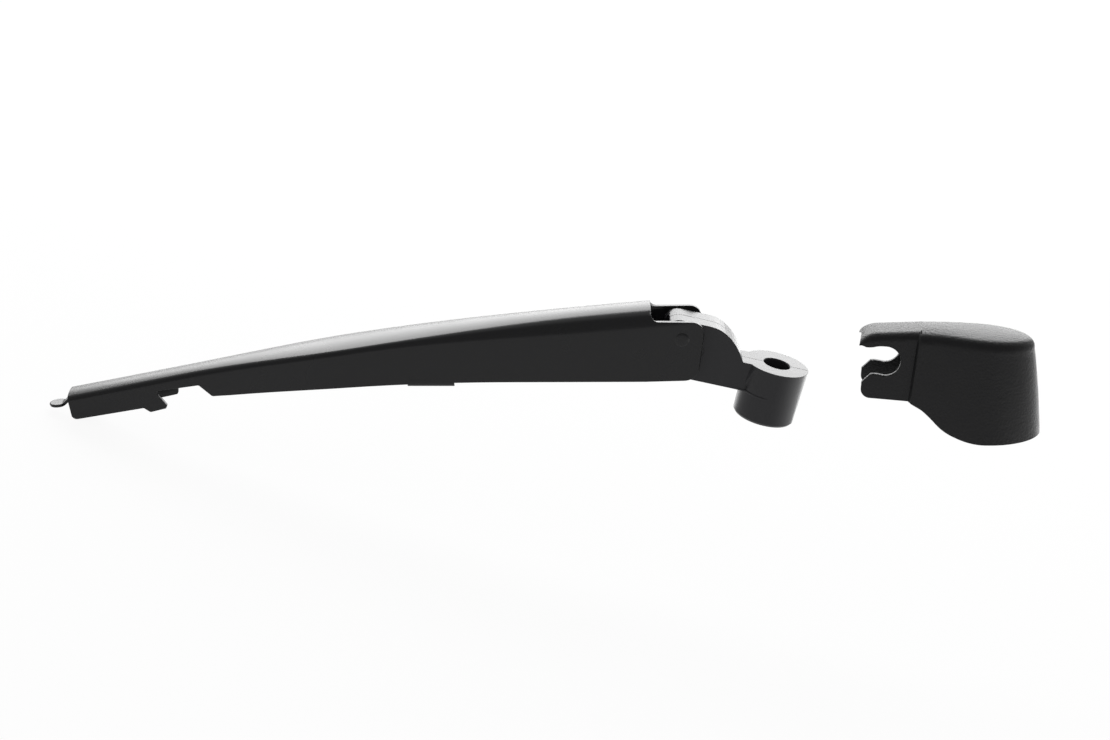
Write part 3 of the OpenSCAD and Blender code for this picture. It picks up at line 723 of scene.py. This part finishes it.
def end_shift(x, y, z, t):
    """x near the tip, moved so that the first column lies on the end's slanted cut.

    The cut leans back by a sixth of the height, a chamfer in plan takes off the far corner, and
    the move fades out over the reach.
    """
    lean, foot, reach = 0.167, -30.9, 10
    upright = -206 - lean * (z[:, :1] - foot)
    chamfer = np.where(y[:, :1] > 2, -210 + (y[:, :1] - 3.0) * 1.926, -300)
    cut = np.maximum(upright, chamfer)
    return x + (cut - x[:, :1]) * (1 - np.clip((t - t[..., :1]) / reach, 0, 1))


def side_grid(line, window, t, split, angles, side):
    """One wall and shoulder: outer points, and the way in to the inner skin.

    Up to the window a column has straight wall rows and then arc rows. Past it the same rows are
    shared out evenly between the lower edge and the window's edge, and the window is cut level
    through the sheet, so the way in loses its downward part there.
    """
    low, x = on_line(line, t), t[: split + 1]
    share, arc = WALL_ROWS[:, None], angles[:, None]
    arc_x = np.broadcast_to(x, (len(angles), len(x)))
    arc_z = Channel.centre(arc_x) + Channel.radius(arc_x) * np.sin(arc)
    arc_y = side * (Channel.half_width(arc_x) - Channel.radius(arc_x) * (1 - np.cos(arc)))
    arc_x = end_shift(arc_x, arc_y, arc_z, arc_x)
    wall_x = low[: split + 1, 0] + share * (arc_x[0] - low[: split + 1, 0])
    wall_z = low[: split + 1, 1] + share * (arc_z[0] - low[: split + 1, 1])
    px, pz, straight = np.zeros((3, len(share) + len(angles), len(t)))
    px[:, : split + 1] = np.concatenate([wall_x, arc_x])
    pz[:, : split + 1] = np.concatenate([wall_z, arc_z])
    cut = len(share) + ARC_ROWS
    high = on_line(window, t[split + 1 :])
    f = ((pz[: cut + 1, split] - pz[0, split]) / (pz[cut, split] - pz[0, split]))[:, None]
    px[: cut + 1, split + 1 :] = low[split + 1 :, 0] + f * (high[:, 0] - low[split + 1 :, 0])
    pz[: cut + 1, split + 1 :] = low[split + 1 :, 1] + f * (high[:, 1] - low[split + 1 :, 1])
    straight[: cut + 1, split + 1 :] = f**4 * smooth((t[split + 1 :] - WINDOW_X) / 2.6)
    r = Channel.radius(px)
    rise = pz - Channel.centre(px)
    angle = np.arcsin(np.clip(rise / r, 0, 1))
    angle[len(share) :, : split + 1] = arc
    py = Channel.half_width(px) - r * (1 - np.cos(angle))
    dz = -Channel.sheet * np.sin(angle) * (1 - straight)
    inner_rise = np.clip(rise + dz, 0, None)
    inner_reach = np.sqrt(np.clip((r - Channel.sheet) ** 2 - inner_rise**2, 0, None))
    inner_y = Channel.half_width(px) - r + inner_reach
    outer = np.stack([px, side * py, pz], -1)
    return outer, np.stack([0 * px, side * (inner_y - py), dz], -1)


def tongue_shell():
    """The tongue at the arm's end: a flat strip on a bent path, with a round pad.

    The half width is the stem's, or the pad's circle where that is wider. Rows crowd towards the
    pad's end, so that its circle stays round. Each skin lies half a thickness off the path.
    """
    half_sheet = 0.5
    root, knee, end = (-205.4, -22.3), (-209.4, -26.4), (-214.4, -26.8)
    _, x, z = rounded_line([(0, 0, *root, 0), (1, 2, *knee, 2.0), (3, 3, *end, 0)])
    run = np.concatenate([[0], np.cumsum(np.hypot(np.diff(x), np.diff(z)))])
    pad_r, stem, tip = 2.9, 1.8, 0.4
    at = run[-1] * np.sin(np.linspace(0, math.pi / 2, 44))
    px, pz = np.interp(at, run, x), np.interp(at, run, z)
    reach = px - (end[0] + pad_r)
    half = np.sqrt(np.clip(pad_r**2 - reach**2, tip**2, None))
    half = np.where(reach > 0, np.maximum(half, stem), half)
    slope = np.gradient(pz) / np.gradient(px)
    normal = np.stack([-slope, 0 * slope, 0 * slope + 1], -1) / np.sqrt(1 + slope**2)[:, None]
    across = np.linspace(-1, 1, 9)[:, None]
    middle = np.stack([px + 0 * across, half * across, pz + 0 * across], -1)
    return shell(middle + half_sheet * normal, middle - half_sheet * normal)


def anchor_shell():
    """The tab under the arm: the near wall's sheet, bent inwards through a quarter circle.

    The path goes down inside the wall's sheet, round the bend and across towards the far wall,
    and the slot for the spring's hook is left out of the flat.
    """
    left, right, bend, bottom = -91.9, -76.1, 1.65, -17.2
    slot_half, slot_left, slot_right = 1.4, -82.5, -77.3
    half = float(Channel.half_width((left + right) / 2))
    a = np.linspace(0, math.pi / 2, 8)
    flat = np.concatenate([
        np.linspace(-half + bend, -slot_half, 5)[1:],
        np.linspace(-slot_half, slot_half, 4)[1:],
        np.linspace(slot_half, half - 2, 5)[1:],
    ])
    y = np.concatenate([[-half, -half], -half + bend - bend * np.cos(a), flat])
    z = np.concatenate([[-14.3, -15.0], bottom + bend - bend * np.sin(a), 0 * flat + bottom])
    ny = np.concatenate([[1, 1], np.cos(a), 0 * flat])
    nz = np.concatenate([[0, 0], np.sin(a), 0 * flat + 1])
    x = np.concatenate([
        np.linspace(left, slot_left, 6), np.linspace(slot_left, slot_right, 5)[1:],
        np.linspace(slot_right, right, 3)[1:],
    ])
    outer = np.stack(np.broadcast_arrays(x, y[:, None], z[:, None]), -1)
    way_in = np.stack(np.broadcast_arrays(0 * x, ny[:, None], nz[:, None]), -1)
    mid_y, mid_x = (y[1:] + y[:-1]) / 2, (x[1:] + x[:-1]) / 2
    hole = (np.abs(mid_y) < slot_half)[:, None] & (mid_x > slot_left) & (mid_x < slot_right)
    return shell(outer, outer + Channel.sheet * way_in, ~hole)


# ---------------------------------------------------------------- cover cap


def cap_place(points):
    """Points of the cap's own frame, moved to where the cap lies beside the head.

    They are turned about Z, then tilted and moved in the arm's own frame.
    """
    swing, tilt, place = math.radians(7), -2.6, (69.25, 0, -8.45)
    c, s = math.cos(swing), math.sin(swing)
    x, y, z = points.T
    points = np.column_stack([x * c + y * s, y * c - x * s, z])
    return turned(turned(points, tilt, place), REST_DROP, PIVOT)


def hood_plan(s, drop, shrink, front):
    """Plan of the hood at a share of its draft, set in by shrink, for s from 0 to 3.

    From 0 to 1 it goes from the front out to the wide end of the side on an S-curve, from 1 to 2
    round the back's half ellipse, and from 2 to 3 back along the other side. Right at the front
    it steps in to the ears.
    """
    wide = 12.9 - 2.3 * drop - shrink
    narrow = 8.4 - shrink
    reach = 16.5 - shrink
    middle = 54.95 - 5.6 * drop - shrink - reach
    step, step_share = 1.25, 0.04
    along = np.where(s < 1, s, np.where(s > 2, 3 - s, 1))
    a = math.pi * (1.5 - np.clip(s, 1, 2))
    x = front + (middle - front) * along
    y = narrow + (wide - narrow) * smooth(along) - step * (1 - smooth(along / step_share))
    back = (s > 1) & (s < 2)
    plan_x = np.where(back, middle + reach * np.cos(a), x)
    plan_y = np.where(back, wide * np.sin(a), np.where(s < 1.5, y, -y))
    return plan_x, plan_y


def hood_grid(inset):
    """Grid over the hood: columns follow the plan, rows climb the wall and close on the spine.

    The wall leans in with height. Over it come an arc and a crowned top that rises to the spine,
    a line along the middle. The lower edge is the side view's rim line at each column's x, which
    a few rounds of looking it up settle, because the lean moves x. At last the whole is raised
    along its length by a shallow crest, and its front leans back.
    """
    foot, deepest, spine_half = -20.0, -26.8, 6.4
    crest_high, crest_x, crest_falls = 0.5, 20, (0.005, 0.00074)
    front_lean, front_high, front_share = 1.1, 25, 0.3
    rim = rounded_line([
        (0, 0, 6, -14.0, 0), (1, 2, 10.6, -14.0, 1.5), (3, 4, 14.2, -16.0, 5),
        (5, 6, 21.4, -22.8, 16), (7, 8, 31, -25.6, 24), (9, 9, 62, -22.2, 0),
    ])
    front, top = 10.0 + inset, 10.9 - inset
    r, crown = 3.5 - inset, math.radians(8)
    side = np.concatenate([np.linspace(0, 0.04, 9)[:-1], np.linspace(0.04, 1, 42)[:-1]])
    s = np.concatenate([side, np.linspace(1, 2, 65), 3 - side[::-1]])
    rise = spine_half * math.tan(crown) / 2
    centre = top - rise - r * math.cos(crown)

    def lean(z):
        """Share of the draft that is reached at a height, growing faster towards the top."""
        h = np.clip((z - deepest) / (centre - deepest), 0, 1)
        return h * (1 - 0.3 * (1 - h))

    z = np.full_like(s, foot)
    for _ in range(6):
        x, _ = hood_plan(s, lean(z), inset, front)
        z = np.interp(x, rim[1], rim[2])
    wall_z = z + np.concatenate([[0, 0.02], np.linspace(0.08, 1, 14)])[:, None] * (centre - z)
    wall = np.stack([*hood_plan(s, lean(wall_z), inset, front), wall_z], -1)
    a = np.linspace(0, math.pi / 2 - crown, 11)[1:, None]
    arc_plan = hood_plan(s, 1, inset + r * (1 - np.cos(a)), front)
    arc = np.stack([*arc_plan, centre + r * np.sin(a) + 0 * s], -1)
    v = np.linspace(0, 1, 11)[1:, None]
    edge = arc[-1]
    spine_end = edge[:, 0].max() - 1.2 * edge[:, 1].max()
    spine = np.stack([np.clip(edge[:, 0], None, spine_end), 0 * s, 0 * s], -1)
    over = edge + v[..., None] * (spine - edge)
    over[..., 2] = edge[:, 2] + rise * (1 - (1 - v) ** 2)
    grid = np.concatenate([wall, arc, over])
    x, z = grid[..., 0], grid[..., 2]
    crest = crest_high - np.where(x < crest_x, *crest_falls) * (x - crest_x) ** 2
    grid[..., 2] += crest * np.clip(z / top, 0, 1)
    ends = 1 - smooth(np.clip(np.minimum(s, 3 - s) / front_share, 0, 1))
    grid[..., 0] -= front_lean * ends * np.clip((top - z) / front_high, 0, 1)
    return grid


def hood_shell(wall):
    """The hood: an outer skin, an inner one a wall's thickness in, and rims below and in front."""
    return shell(hood_grid(0.0), hood_grid(wall))


# The ears' frame rises towards the hood. In it: half the width over both ears, the height of
# their top, the radius of their shoulder, and where its arc starts and ends when unrolled
EAR_RISE = math.radians(7)
EAR_HALF, EAR_TOP, EAR_CORNER = 7.15, 9.6, 2.8
ARC_START = EAR_TOP - EAR_CORNER
ARC_END = ARC_START + EAR_CORNER * math.pi / 2


def developed(x, z):
    """Side-view points in the ears' rising frame, with the shoulder's arc unrolled upwards."""
    along = x * math.cos(EAR_RISE) + z * math.sin(EAR_RISE)
    up = z * math.cos(EAR_RISE) - x * math.sin(EAR_RISE)
    arc = EAR_CORNER * np.arcsin(np.clip((up - ARC_START) / EAR_CORNER, 0, 1))
    return np.stack([along, np.where(up > ARC_START, ARC_START + arc, up)], -1)


def on_rays(line, angle):
    """Points where rays from the notch's centre at the given angles meet a line of corners."""
    share = np.linspace(0, 1, 12)[:-1, None]
    dense = np.concatenate([p + (q - p) * share for p, q in zip(line, line[1:])] + [line[-1:]])
    ray = np.unwrap(np.arctan2(dense[:, 1], dense[:, 0]))
    order = np.argsort(ray)
    return np.stack([np.interp(angle, ray[order], dense[order, k]) for k in (0, 1)], -1)


def ear_outline():
    """The notch's edge and the ear's outline, unrolled, each from the lips round to the nose."""
    mouth = np.array([
        [-7.35, -6.45], [-6.6, -6.15], [-5.8, -5.75], [-5.1, -5.35], [-4.4, -5.08],
        [-3.4, -4.93], [-2.6, -4.9], [-1.6, -5.02], [-0.8, -5.12],
    ])
    seat_r = 5.2
    a = np.radians(np.linspace(-90, 90, 49))
    seat = seat_r * np.column_stack([np.cos(a), np.sin(a)])
    lip = np.array([
        [-1.2, 5.17], [-2.4, 5.08], [-3.4, 4.86], [-4.2, 4.6], [-5.4, 4.4], [-6.6, 4.46],
        [-7.4, 4.75], [-7.9, 5.25],
    ])
    chin = [(0, 0, -7.2, -6.6, 0), (1, 2, -7.2, -13.8, 3.2), (3, 3, 11.2, -13.8, 0)]
    middle = ARC_END + EAR_HALF - EAR_CORNER
    back = np.array([[12.6, -12.3], [12.6, middle]])
    nose = [
        (0, 0, -7.6, middle, 0), (1, 2, -8.0, 11.0, 5), (3, 4, -8.5, 6.9, 2), (5, 5, -6.8, 5.6, 0)
    ]
    below = developed(*rounded_line(chin, steps=16)[1:])
    nose = np.column_stack(rounded_line(nose, steps=10)[1:])
    return developed(*np.concatenate([mouth, seat, lip]).T), np.concatenate([below, back, nose])


def nose_bent(grid):
    """The same grid with the front of the ears bent down on a quarter ellipse.

    The top falls by the ellipse's height over its length, and what is lower falls by its share
    of the height above the lip.
    """
    start, long, high = -2.1, 6.5, 3.9
    lip, above = 4.9, 4.7
    near = np.clip((start - grid[..., 0]) / long, 0, 1)
    fall = high * (1 - np.sqrt(1 - near**2)) * np.clip((grid[..., 2] - lip) / above, 0, 1)
    return grid - np.stack([0 * fall, 0 * fall, fall], -1)


def ear_shell(wall):
    """One clip ear with its half of the bridge, as a grid round the notch.

    Each column is a ray from the notch's centre, from the notch's edge out to the ear's outline,
    on the side view with the shoulder's arc and the top unrolled above it. The rows between,
    which crowd a little towards both edges, are rolled up again: straight up the wall, round the
    arc, then across to the middle. The inner skin lies a wall's thickness in, and a little more
    under the top.
    """
    notch, outline = ear_outline()
    low, high = math.radians(-138.2), math.radians(139.9)
    corners = np.unwrap(np.arctan2(outline[:, 1], outline[:, 0]))
    corners = corners[(corners > low + 0.01) & (corners < high - 0.01)]
    angle = np.unique(np.concatenate([np.linspace(low, high, 150), corners]))
    angle = angle[np.concatenate([[True], np.diff(angle) > 0.003])]
    share = (1 - np.cos(np.linspace(0, math.pi, 31)))[:, None, None] / 2
    share = 0.35 * share + 0.65 * np.linspace(0, 1, 31)[:, None, None]
    grid = on_rays(notch, angle) + share * (on_rays(outline, angle) - on_rays(notch, angle))
    along, up = grid[..., 0], grid[..., 1]
    turn = np.clip((up - ARC_START) / EAR_CORNER, 0, math.pi / 2)
    y = EAR_HALF - EAR_CORNER * (1 - np.cos(turn)) - np.clip(up - ARC_END, 0, None)
    crowned = 1 - 0.1 * (y / EAR_HALF) ** 2
    h = np.minimum(up, ARC_START) + EAR_CORNER * np.sin(turn) * crowned
    outer = np.stack([along, np.where(np.abs(y) < 1e-4, 0, y), h], -1)
    thick = wall + 0.4 * np.sin(turn)
    inner = outer - thick[..., None] * np.stack([0 * y, np.cos(turn), np.sin(turn)], -1)
    level = [
        turned(nose_bent(skin).reshape(-1, 3), math.degrees(EAR_RISE)).reshape(skin.shape)
        for skin in (outer, inner)
    ]
    return shell(*level)


def mirrored(mesh):
    """The same mesh on the other side of the middle plane."""
    points, faces = mesh
    return points * (1, -1, 1), faces[:, ::-1]


# ---------------------------------------------------------------- spring and pivot pin


def spring_skin(wire_r, coil_r, turns):
    """The tension spring: a round wire along its path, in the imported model's frame.

    The path is a hook up through its hole and over a quarter circle, a straight shank, a spiral
    that opens to the coil, its close turns, and the same again the other way. The wire's cross
    frame follows the coil's radius, which stands across the path everywhere. The path is worked
    out along X from the link's pin, then turned to the line of pull from there to the tab.
    """
    pin_reach, pin_angle = 7.6, math.radians(43.4)
    tab_x, tab_low, play = -81.5, -17.2, 0.4
    pin = pin_reach * np.array([math.cos(pin_angle), -math.sin(pin_angle)])
    pull = pin - np.array([tab_x, tab_low + Channel.sheet + wire_r + play])
    right, left = -27.9, -math.hypot(*pull)
    bend, leg, shank, lead = 1.9, 3.4, 3.7, 3.8
    quarter = np.linspace(0, math.pi / 2, 9)[1:]
    rise_x = np.concatenate([[0, 0], bend * (1 - np.cos(quarter))])
    rise_z = np.concatenate([[-leg, -bend], bend * (np.sin(quarter) - 1)])
    s = np.linspace(0, 1, 25)[1:]
    back = s[::-1][1:]
    turn_steps, lead_turn = 26, 1.5 * math.pi
    coil_a = np.linspace(0, 2 * math.pi * turns, turns * turn_steps + 1)[1:]
    start, stop = left + bend + shank, right - bend
    coil_x = start + lead + (stop - 2 * lead - start) * coil_a / coil_a[-1]
    phase = np.concatenate([
        0 * rise_x - lead_turn, lead_turn * (s - 1), coil_a,
        coil_a[-1] - lead_turn * (back - 1), [coil_a[-1] + lead_turn],
        coil_a[-1] + lead_turn + 0 * rise_x,
    ])
    radius = np.concatenate([
        0 * rise_x, coil_r * smooth(s), 0 * coil_a + coil_r, coil_r * smooth(back), [0], 0 * rise_x
    ])
    x = np.concatenate([
        left + rise_x, start + lead * s, coil_x, stop - lead * back, [stop], right - rise_x[::-1]
    ])
    z = np.concatenate([rise_z, 0 * s, 0 * coil_x, 0 * back, [0], rise_z[::-1]])
    path = np.column_stack([x, radius * np.sin(phase), radius * np.cos(phase) + z])
    tangent = np.gradient(path, axis=0)
    tangent /= np.linalg.norm(tangent, axis=1)[:, None]
    out = np.column_stack([0 * phase, np.sin(phase), np.cos(phase)])
    out -= (out * tangent).sum(1)[:, None] * tangent
    out /= np.linalg.norm(out, axis=1)[:, None]
    side = np.cross(tangent, out)
    cap = 0.01
    path = np.concatenate([path[:1] - cap * tangent[:1], path, path[-1:] + cap * tangent[-1:]])
    out, side = (np.concatenate([v[:1], v, v[-1:]]) for v in (out, side))
    size = np.concatenate([[0], np.full(len(path) - 2, wire_r), [0]])[:, None, None]
    a = np.linspace(0, 2 * math.pi, 15)[:-1, None]
    ring = np.cos(a) * out[:, None] + np.sin(a) * side[:, None]
    points, faces = tube(path[:, None] + size * ring)
    points = turned(points, math.degrees(math.atan2(pull[1], pull[0])), (pin[0], 0, pin[1]))
    return turned(points, REST_DROP, PIVOT), faces


def pin_skin(end_r):
    """The staked pivot pin: a profile of radius over Y, turned about its own axis.

    Each end is spread by the staking into a low dome that falls away to the wall. The dome's
    radii are shares of the end's own.
    """
    dome = [(0.0, 9.34), (0.3, 9.33), (0.54, 9.29), (0.73, 9.21), (0.87, 9.11), (0.96, 8.98)]
    half = [(end_r * r, y) for r, y in dome] + [(end_r, 8.8), (2.5, 8.6), (2.5, 6.0)]
    r, y = np.array(half + [(r, -y) for r, y in half[::-1]]).T
    a = np.linspace(0, 2 * math.pi, 73)[:-1]
    grid = np.stack([r[:, None] * np.cos(a), y[:, None] + 0 * a, r[:, None] * np.sin(a)], -1)
    points, faces = tube(grid)
    return points + PIVOT, faces


# ---------------------------------------------------------------- operators


class WIPER_OT_castings(bpy.types.Operator):
    """Give the solids their finish: head, bushes, cross pin and link keep their own shape"""

    bl_idname = "wiper.castings"
    bl_label = "Head, bushes, cross pin and link"

    def execute(self, context):
        slots = {s["node"]: s["material_slot"] for s in frame["record"]["subparts"]}
        for name, obj in frame["nodes"].items():
            dress(obj, slots[name])
        return {"FINISHED"}


class WIPER_OT_channel(bpy.types.Operator):
    """Build the pressed channel with its tongue and the tab that anchors the spring"""

    bl_idname = "wiper.channel"
    bl_label = "Arm channel"

    def execute(self, context):
        shape = context.scene.wiper_shape
        Channel.sheet = shape.sheet / MM
        edge = shape.edge / MM
        for name, (points, faces), nodes in (
            ("arm_pressing", channel_shell(), ["arm_channel"]),
            ("end_tongue", tongue_shell(), []),
            ("anchor_tab", anchor_shell(), []),
        ):
            points = turned(points, REST_DROP, PIVOT)
            piece(name, points, faces, "arm_paint", "arm", nodes, edge)
        return {"FINISHED"}


class WIPER_OT_spring(bpy.types.Operator):
    """Build the tension spring and the staked pivot pin"""

    bl_idname = "wiper.spring"
    bl_label = "Spring and pivot pin"

    def execute(self, context):
        shape = context.scene.wiper_shape
        wire_r = shape.wire / 2 / MM
        spring = spring_skin(wire_r, shape.coil / 2 / MM - wire_r, shape.turns)
        piece("coil_spring", *spring, "spring_steel", "link", ["tension_spring"])
        piece("staked_pin", *pin_skin(shape.pin / 2 / MM), "arm_paint", "arm", ["pivot_pin"])
        return {"FINISHED"}


class WIPER_OT_cap(bpy.types.Operator):
    """Build the cover cap: the hood and the two clip ears"""

    bl_idname = "wiper.cap"
    bl_label = "Cover cap"

    def execute(self, context):
        shape = context.scene.wiper_shape
        ear = ear_shell(shape.ear_wall / MM)
        edge = shape.cap_edge / MM
        for name, (points, faces), nodes in (
            ("cap_hood", hood_shell(shape.cap_wall / MM), ["cover_cap"]),
            ("cap_ears", joined(ear, mirrored(ear)), []),
        ):
            piece(name, cap_place(points), faces, "cap_plastic", "head", nodes, edge)
        return {"FINISHED"}


class WIPER_OT_stage(bpy.types.Operator):
    """Set up the camera, the floor and the studio light"""

    bl_idname = "wiper.stage"
    bl_label = "Stage"

    def execute(self, context):
        stage = context.scene.wiper_stage
        context.scene.view_settings.view_transform = "Standard"
        self.camera(context, stage)
        self.floor(context, stage)
        white_world(stage.fill)
        place, target = (0.0, 1.35, 0.66), (-0.05, 0, 0)
        self.softbox(context, "back_softbox", place, target, (1.9, 1.1), stage.back_light)
        for name, x, y, size in (
            ("floor_glow_back", 0.1, 0.75, (2.0, 1.3)),
            ("floor_glow_right", 0.56, 0.1, (0.84, 0.8)),
        ):
            place, above = (x, y, CAD_BOX[0].z), (x, y, 1.0)
            glow = self.softbox(context, name, place, above, size, stage.floor_light)
            glow.visible_diffuse = False
        self.dark_side(context)
        return {"FINISHED"}

    def camera(self, context, stage):
        """A camera at the photograph's angle and distance, turned by the roll, looking down."""
        place = (-0.14133, -0.75449, 0.2779)
        c, s = math.cos(stage.roll), math.sin(stage.roll)
        ce, se = math.cos(stage.elevation), math.sin(stage.elevation)
        right = np.array([c, 0, s])
        look = np.array([se * s, ce, -se * c])
        up = np.cross(right, look)
        data = bpy.data.cameras.new("camera")
        data.lens = stage.lens
        data.sensor_width = 36
        data.clip_start, data.clip_end = 0.05, 20
        obj = bpy.data.objects.new("camera", data)
        turn = Matrix(np.column_stack([right, up, -look]).tolist()).to_4x4()
        obj.matrix_world = Matrix.Translation(place) @ turn
        context.scene.collection.objects.link(obj)
        context.scene.camera = obj

    def floor(self, context, stage):
        """A wide flat sheet of studio paper just under the lowest point."""
        z = CAD_BOX[0].z - stage.floor_gap
        r = 6.0
        corners = [(-r, -r, z), (r, -r, z), (r, r, z), (-r, r, z)]
        self.backdrop(context, "studio_floor", corners, [(0, 1, 2, 3)], pale_floor("studio_paper"))

    def dark_side(self, context):
        """The studio's unlit side, before and over the object: a glowing sheet of painted
        reflection, standing where there is only shade. Only reflections show it.
        """
        low = CAD_BOX[0].z + 0.04
        rows = [(-1.2, low), (-1.2, 1.3), (0.0, 1.6)]
        corners = [(x, y, z) for y, z in rows for x in (-1.8, 1.8)]
        faces = [(0, 1, 3, 2), (2, 3, 5, 4)]
        wall = self.backdrop(
            context, "studio_dark_side", corners, faces, dim_wall("studio_dim_wall")
        )
        for ray in ("camera", "diffuse", "transmission", "shadow"):
            setattr(wall, "visible_" + ray, False)

    def backdrop(self, context, name, corners, faces, material):
        """A flat-sided sheet that belongs to the studio."""
        mesh = bpy.data.meshes.new(name)
        mesh.from_pydata(corners, [], faces)
        obj = bpy.data.objects.new(name, mesh)
        obj.data.materials.append(material)
        context.scene.collection.objects.link(obj)
        return obj

    def softbox(self, context, name, place, target, size, brightness):
        """A rectangular area lamp that faces the target, with the power that gives a radiance."""
        data = bpy.data.lights.new(name, "AREA")
        data.shape = "RECTANGLE"
        data.size, data.size_y = size
        data.energy = brightness * math.pi * size[0] * size[1]
        obj = bpy.data.objects.new(name, data)
        back = np.array(place) - np.array(target)
        turn = Vector(back.tolist()).to_track_quat("Z", "Y")
        obj.matrix_world = Matrix.Translation(place) @ turn.to_matrix().to_4x4()
        obj.visible_camera = False
        context.scene.collection.objects.link(obj)
        return obj


class WIPER_PT_sidebar(bpy.types.Panel):
    """Lists the settings and the operators in the 3D view's sidebar"""

    bl_idname = "WIPER_PT_sidebar"
    bl_label = "Wiper arm"
    bl_space_type = "VIEW_3D"
    bl_region_type = "UI"
    bl_category = "Wiper arm"

    def draw(self, context):
        scene = context.scene
        for group in (scene.wiper_shape, scene.wiper_finish, scene.wiper_stage):
            for key in group.bl_rna.properties.keys():
                if key not in ("rna_type", "name"):
                    self.layout.prop(group, key)
        for operator in PIECES:
            self.layout.operator(operator.bl_idname)


PIECES = (WIPER_OT_castings, WIPER_OT_channel, WIPER_OT_spring, WIPER_OT_cap, WIPER_OT_stage)
CLASSES = (ShapeSettings, FinishSettings, StageSettings, *PIECES, WIPER_PT_sidebar)


def register():
    """Registers the classes and hangs the settings on the scene."""
    for cls in CLASSES:
        bpy.utils.register_class(cls)
    bpy.types.Scene.wiper_shape = bpy.props.PointerProperty(type=ShapeSettings)
    bpy.types.Scene.wiper_finish = bpy.props.PointerProperty(type=FinishSettings)
    bpy.types.Scene.wiper_stage = bpy.props.PointerProperty(type=StageSettings)


def unregister():
    """Takes the settings and classes away again."""
    del bpy.types.Scene.wiper_stage
    del bpy.types.Scene.wiper_finish
    del bpy.types.Scene.wiper_shape
    for cls in reversed(CLASSES):
        bpy.utils.unregister_class(cls)


def main():
    """Builds every piece in order."""
    register()
    bpy.ops.wiper.castings()
    bpy.ops.wiper.channel()
    bpy.ops.wiper.spring()
    bpy.ops.wiper.cap()
    bpy.ops.wiper.stage()


if __name__ == "__main__":
    main()
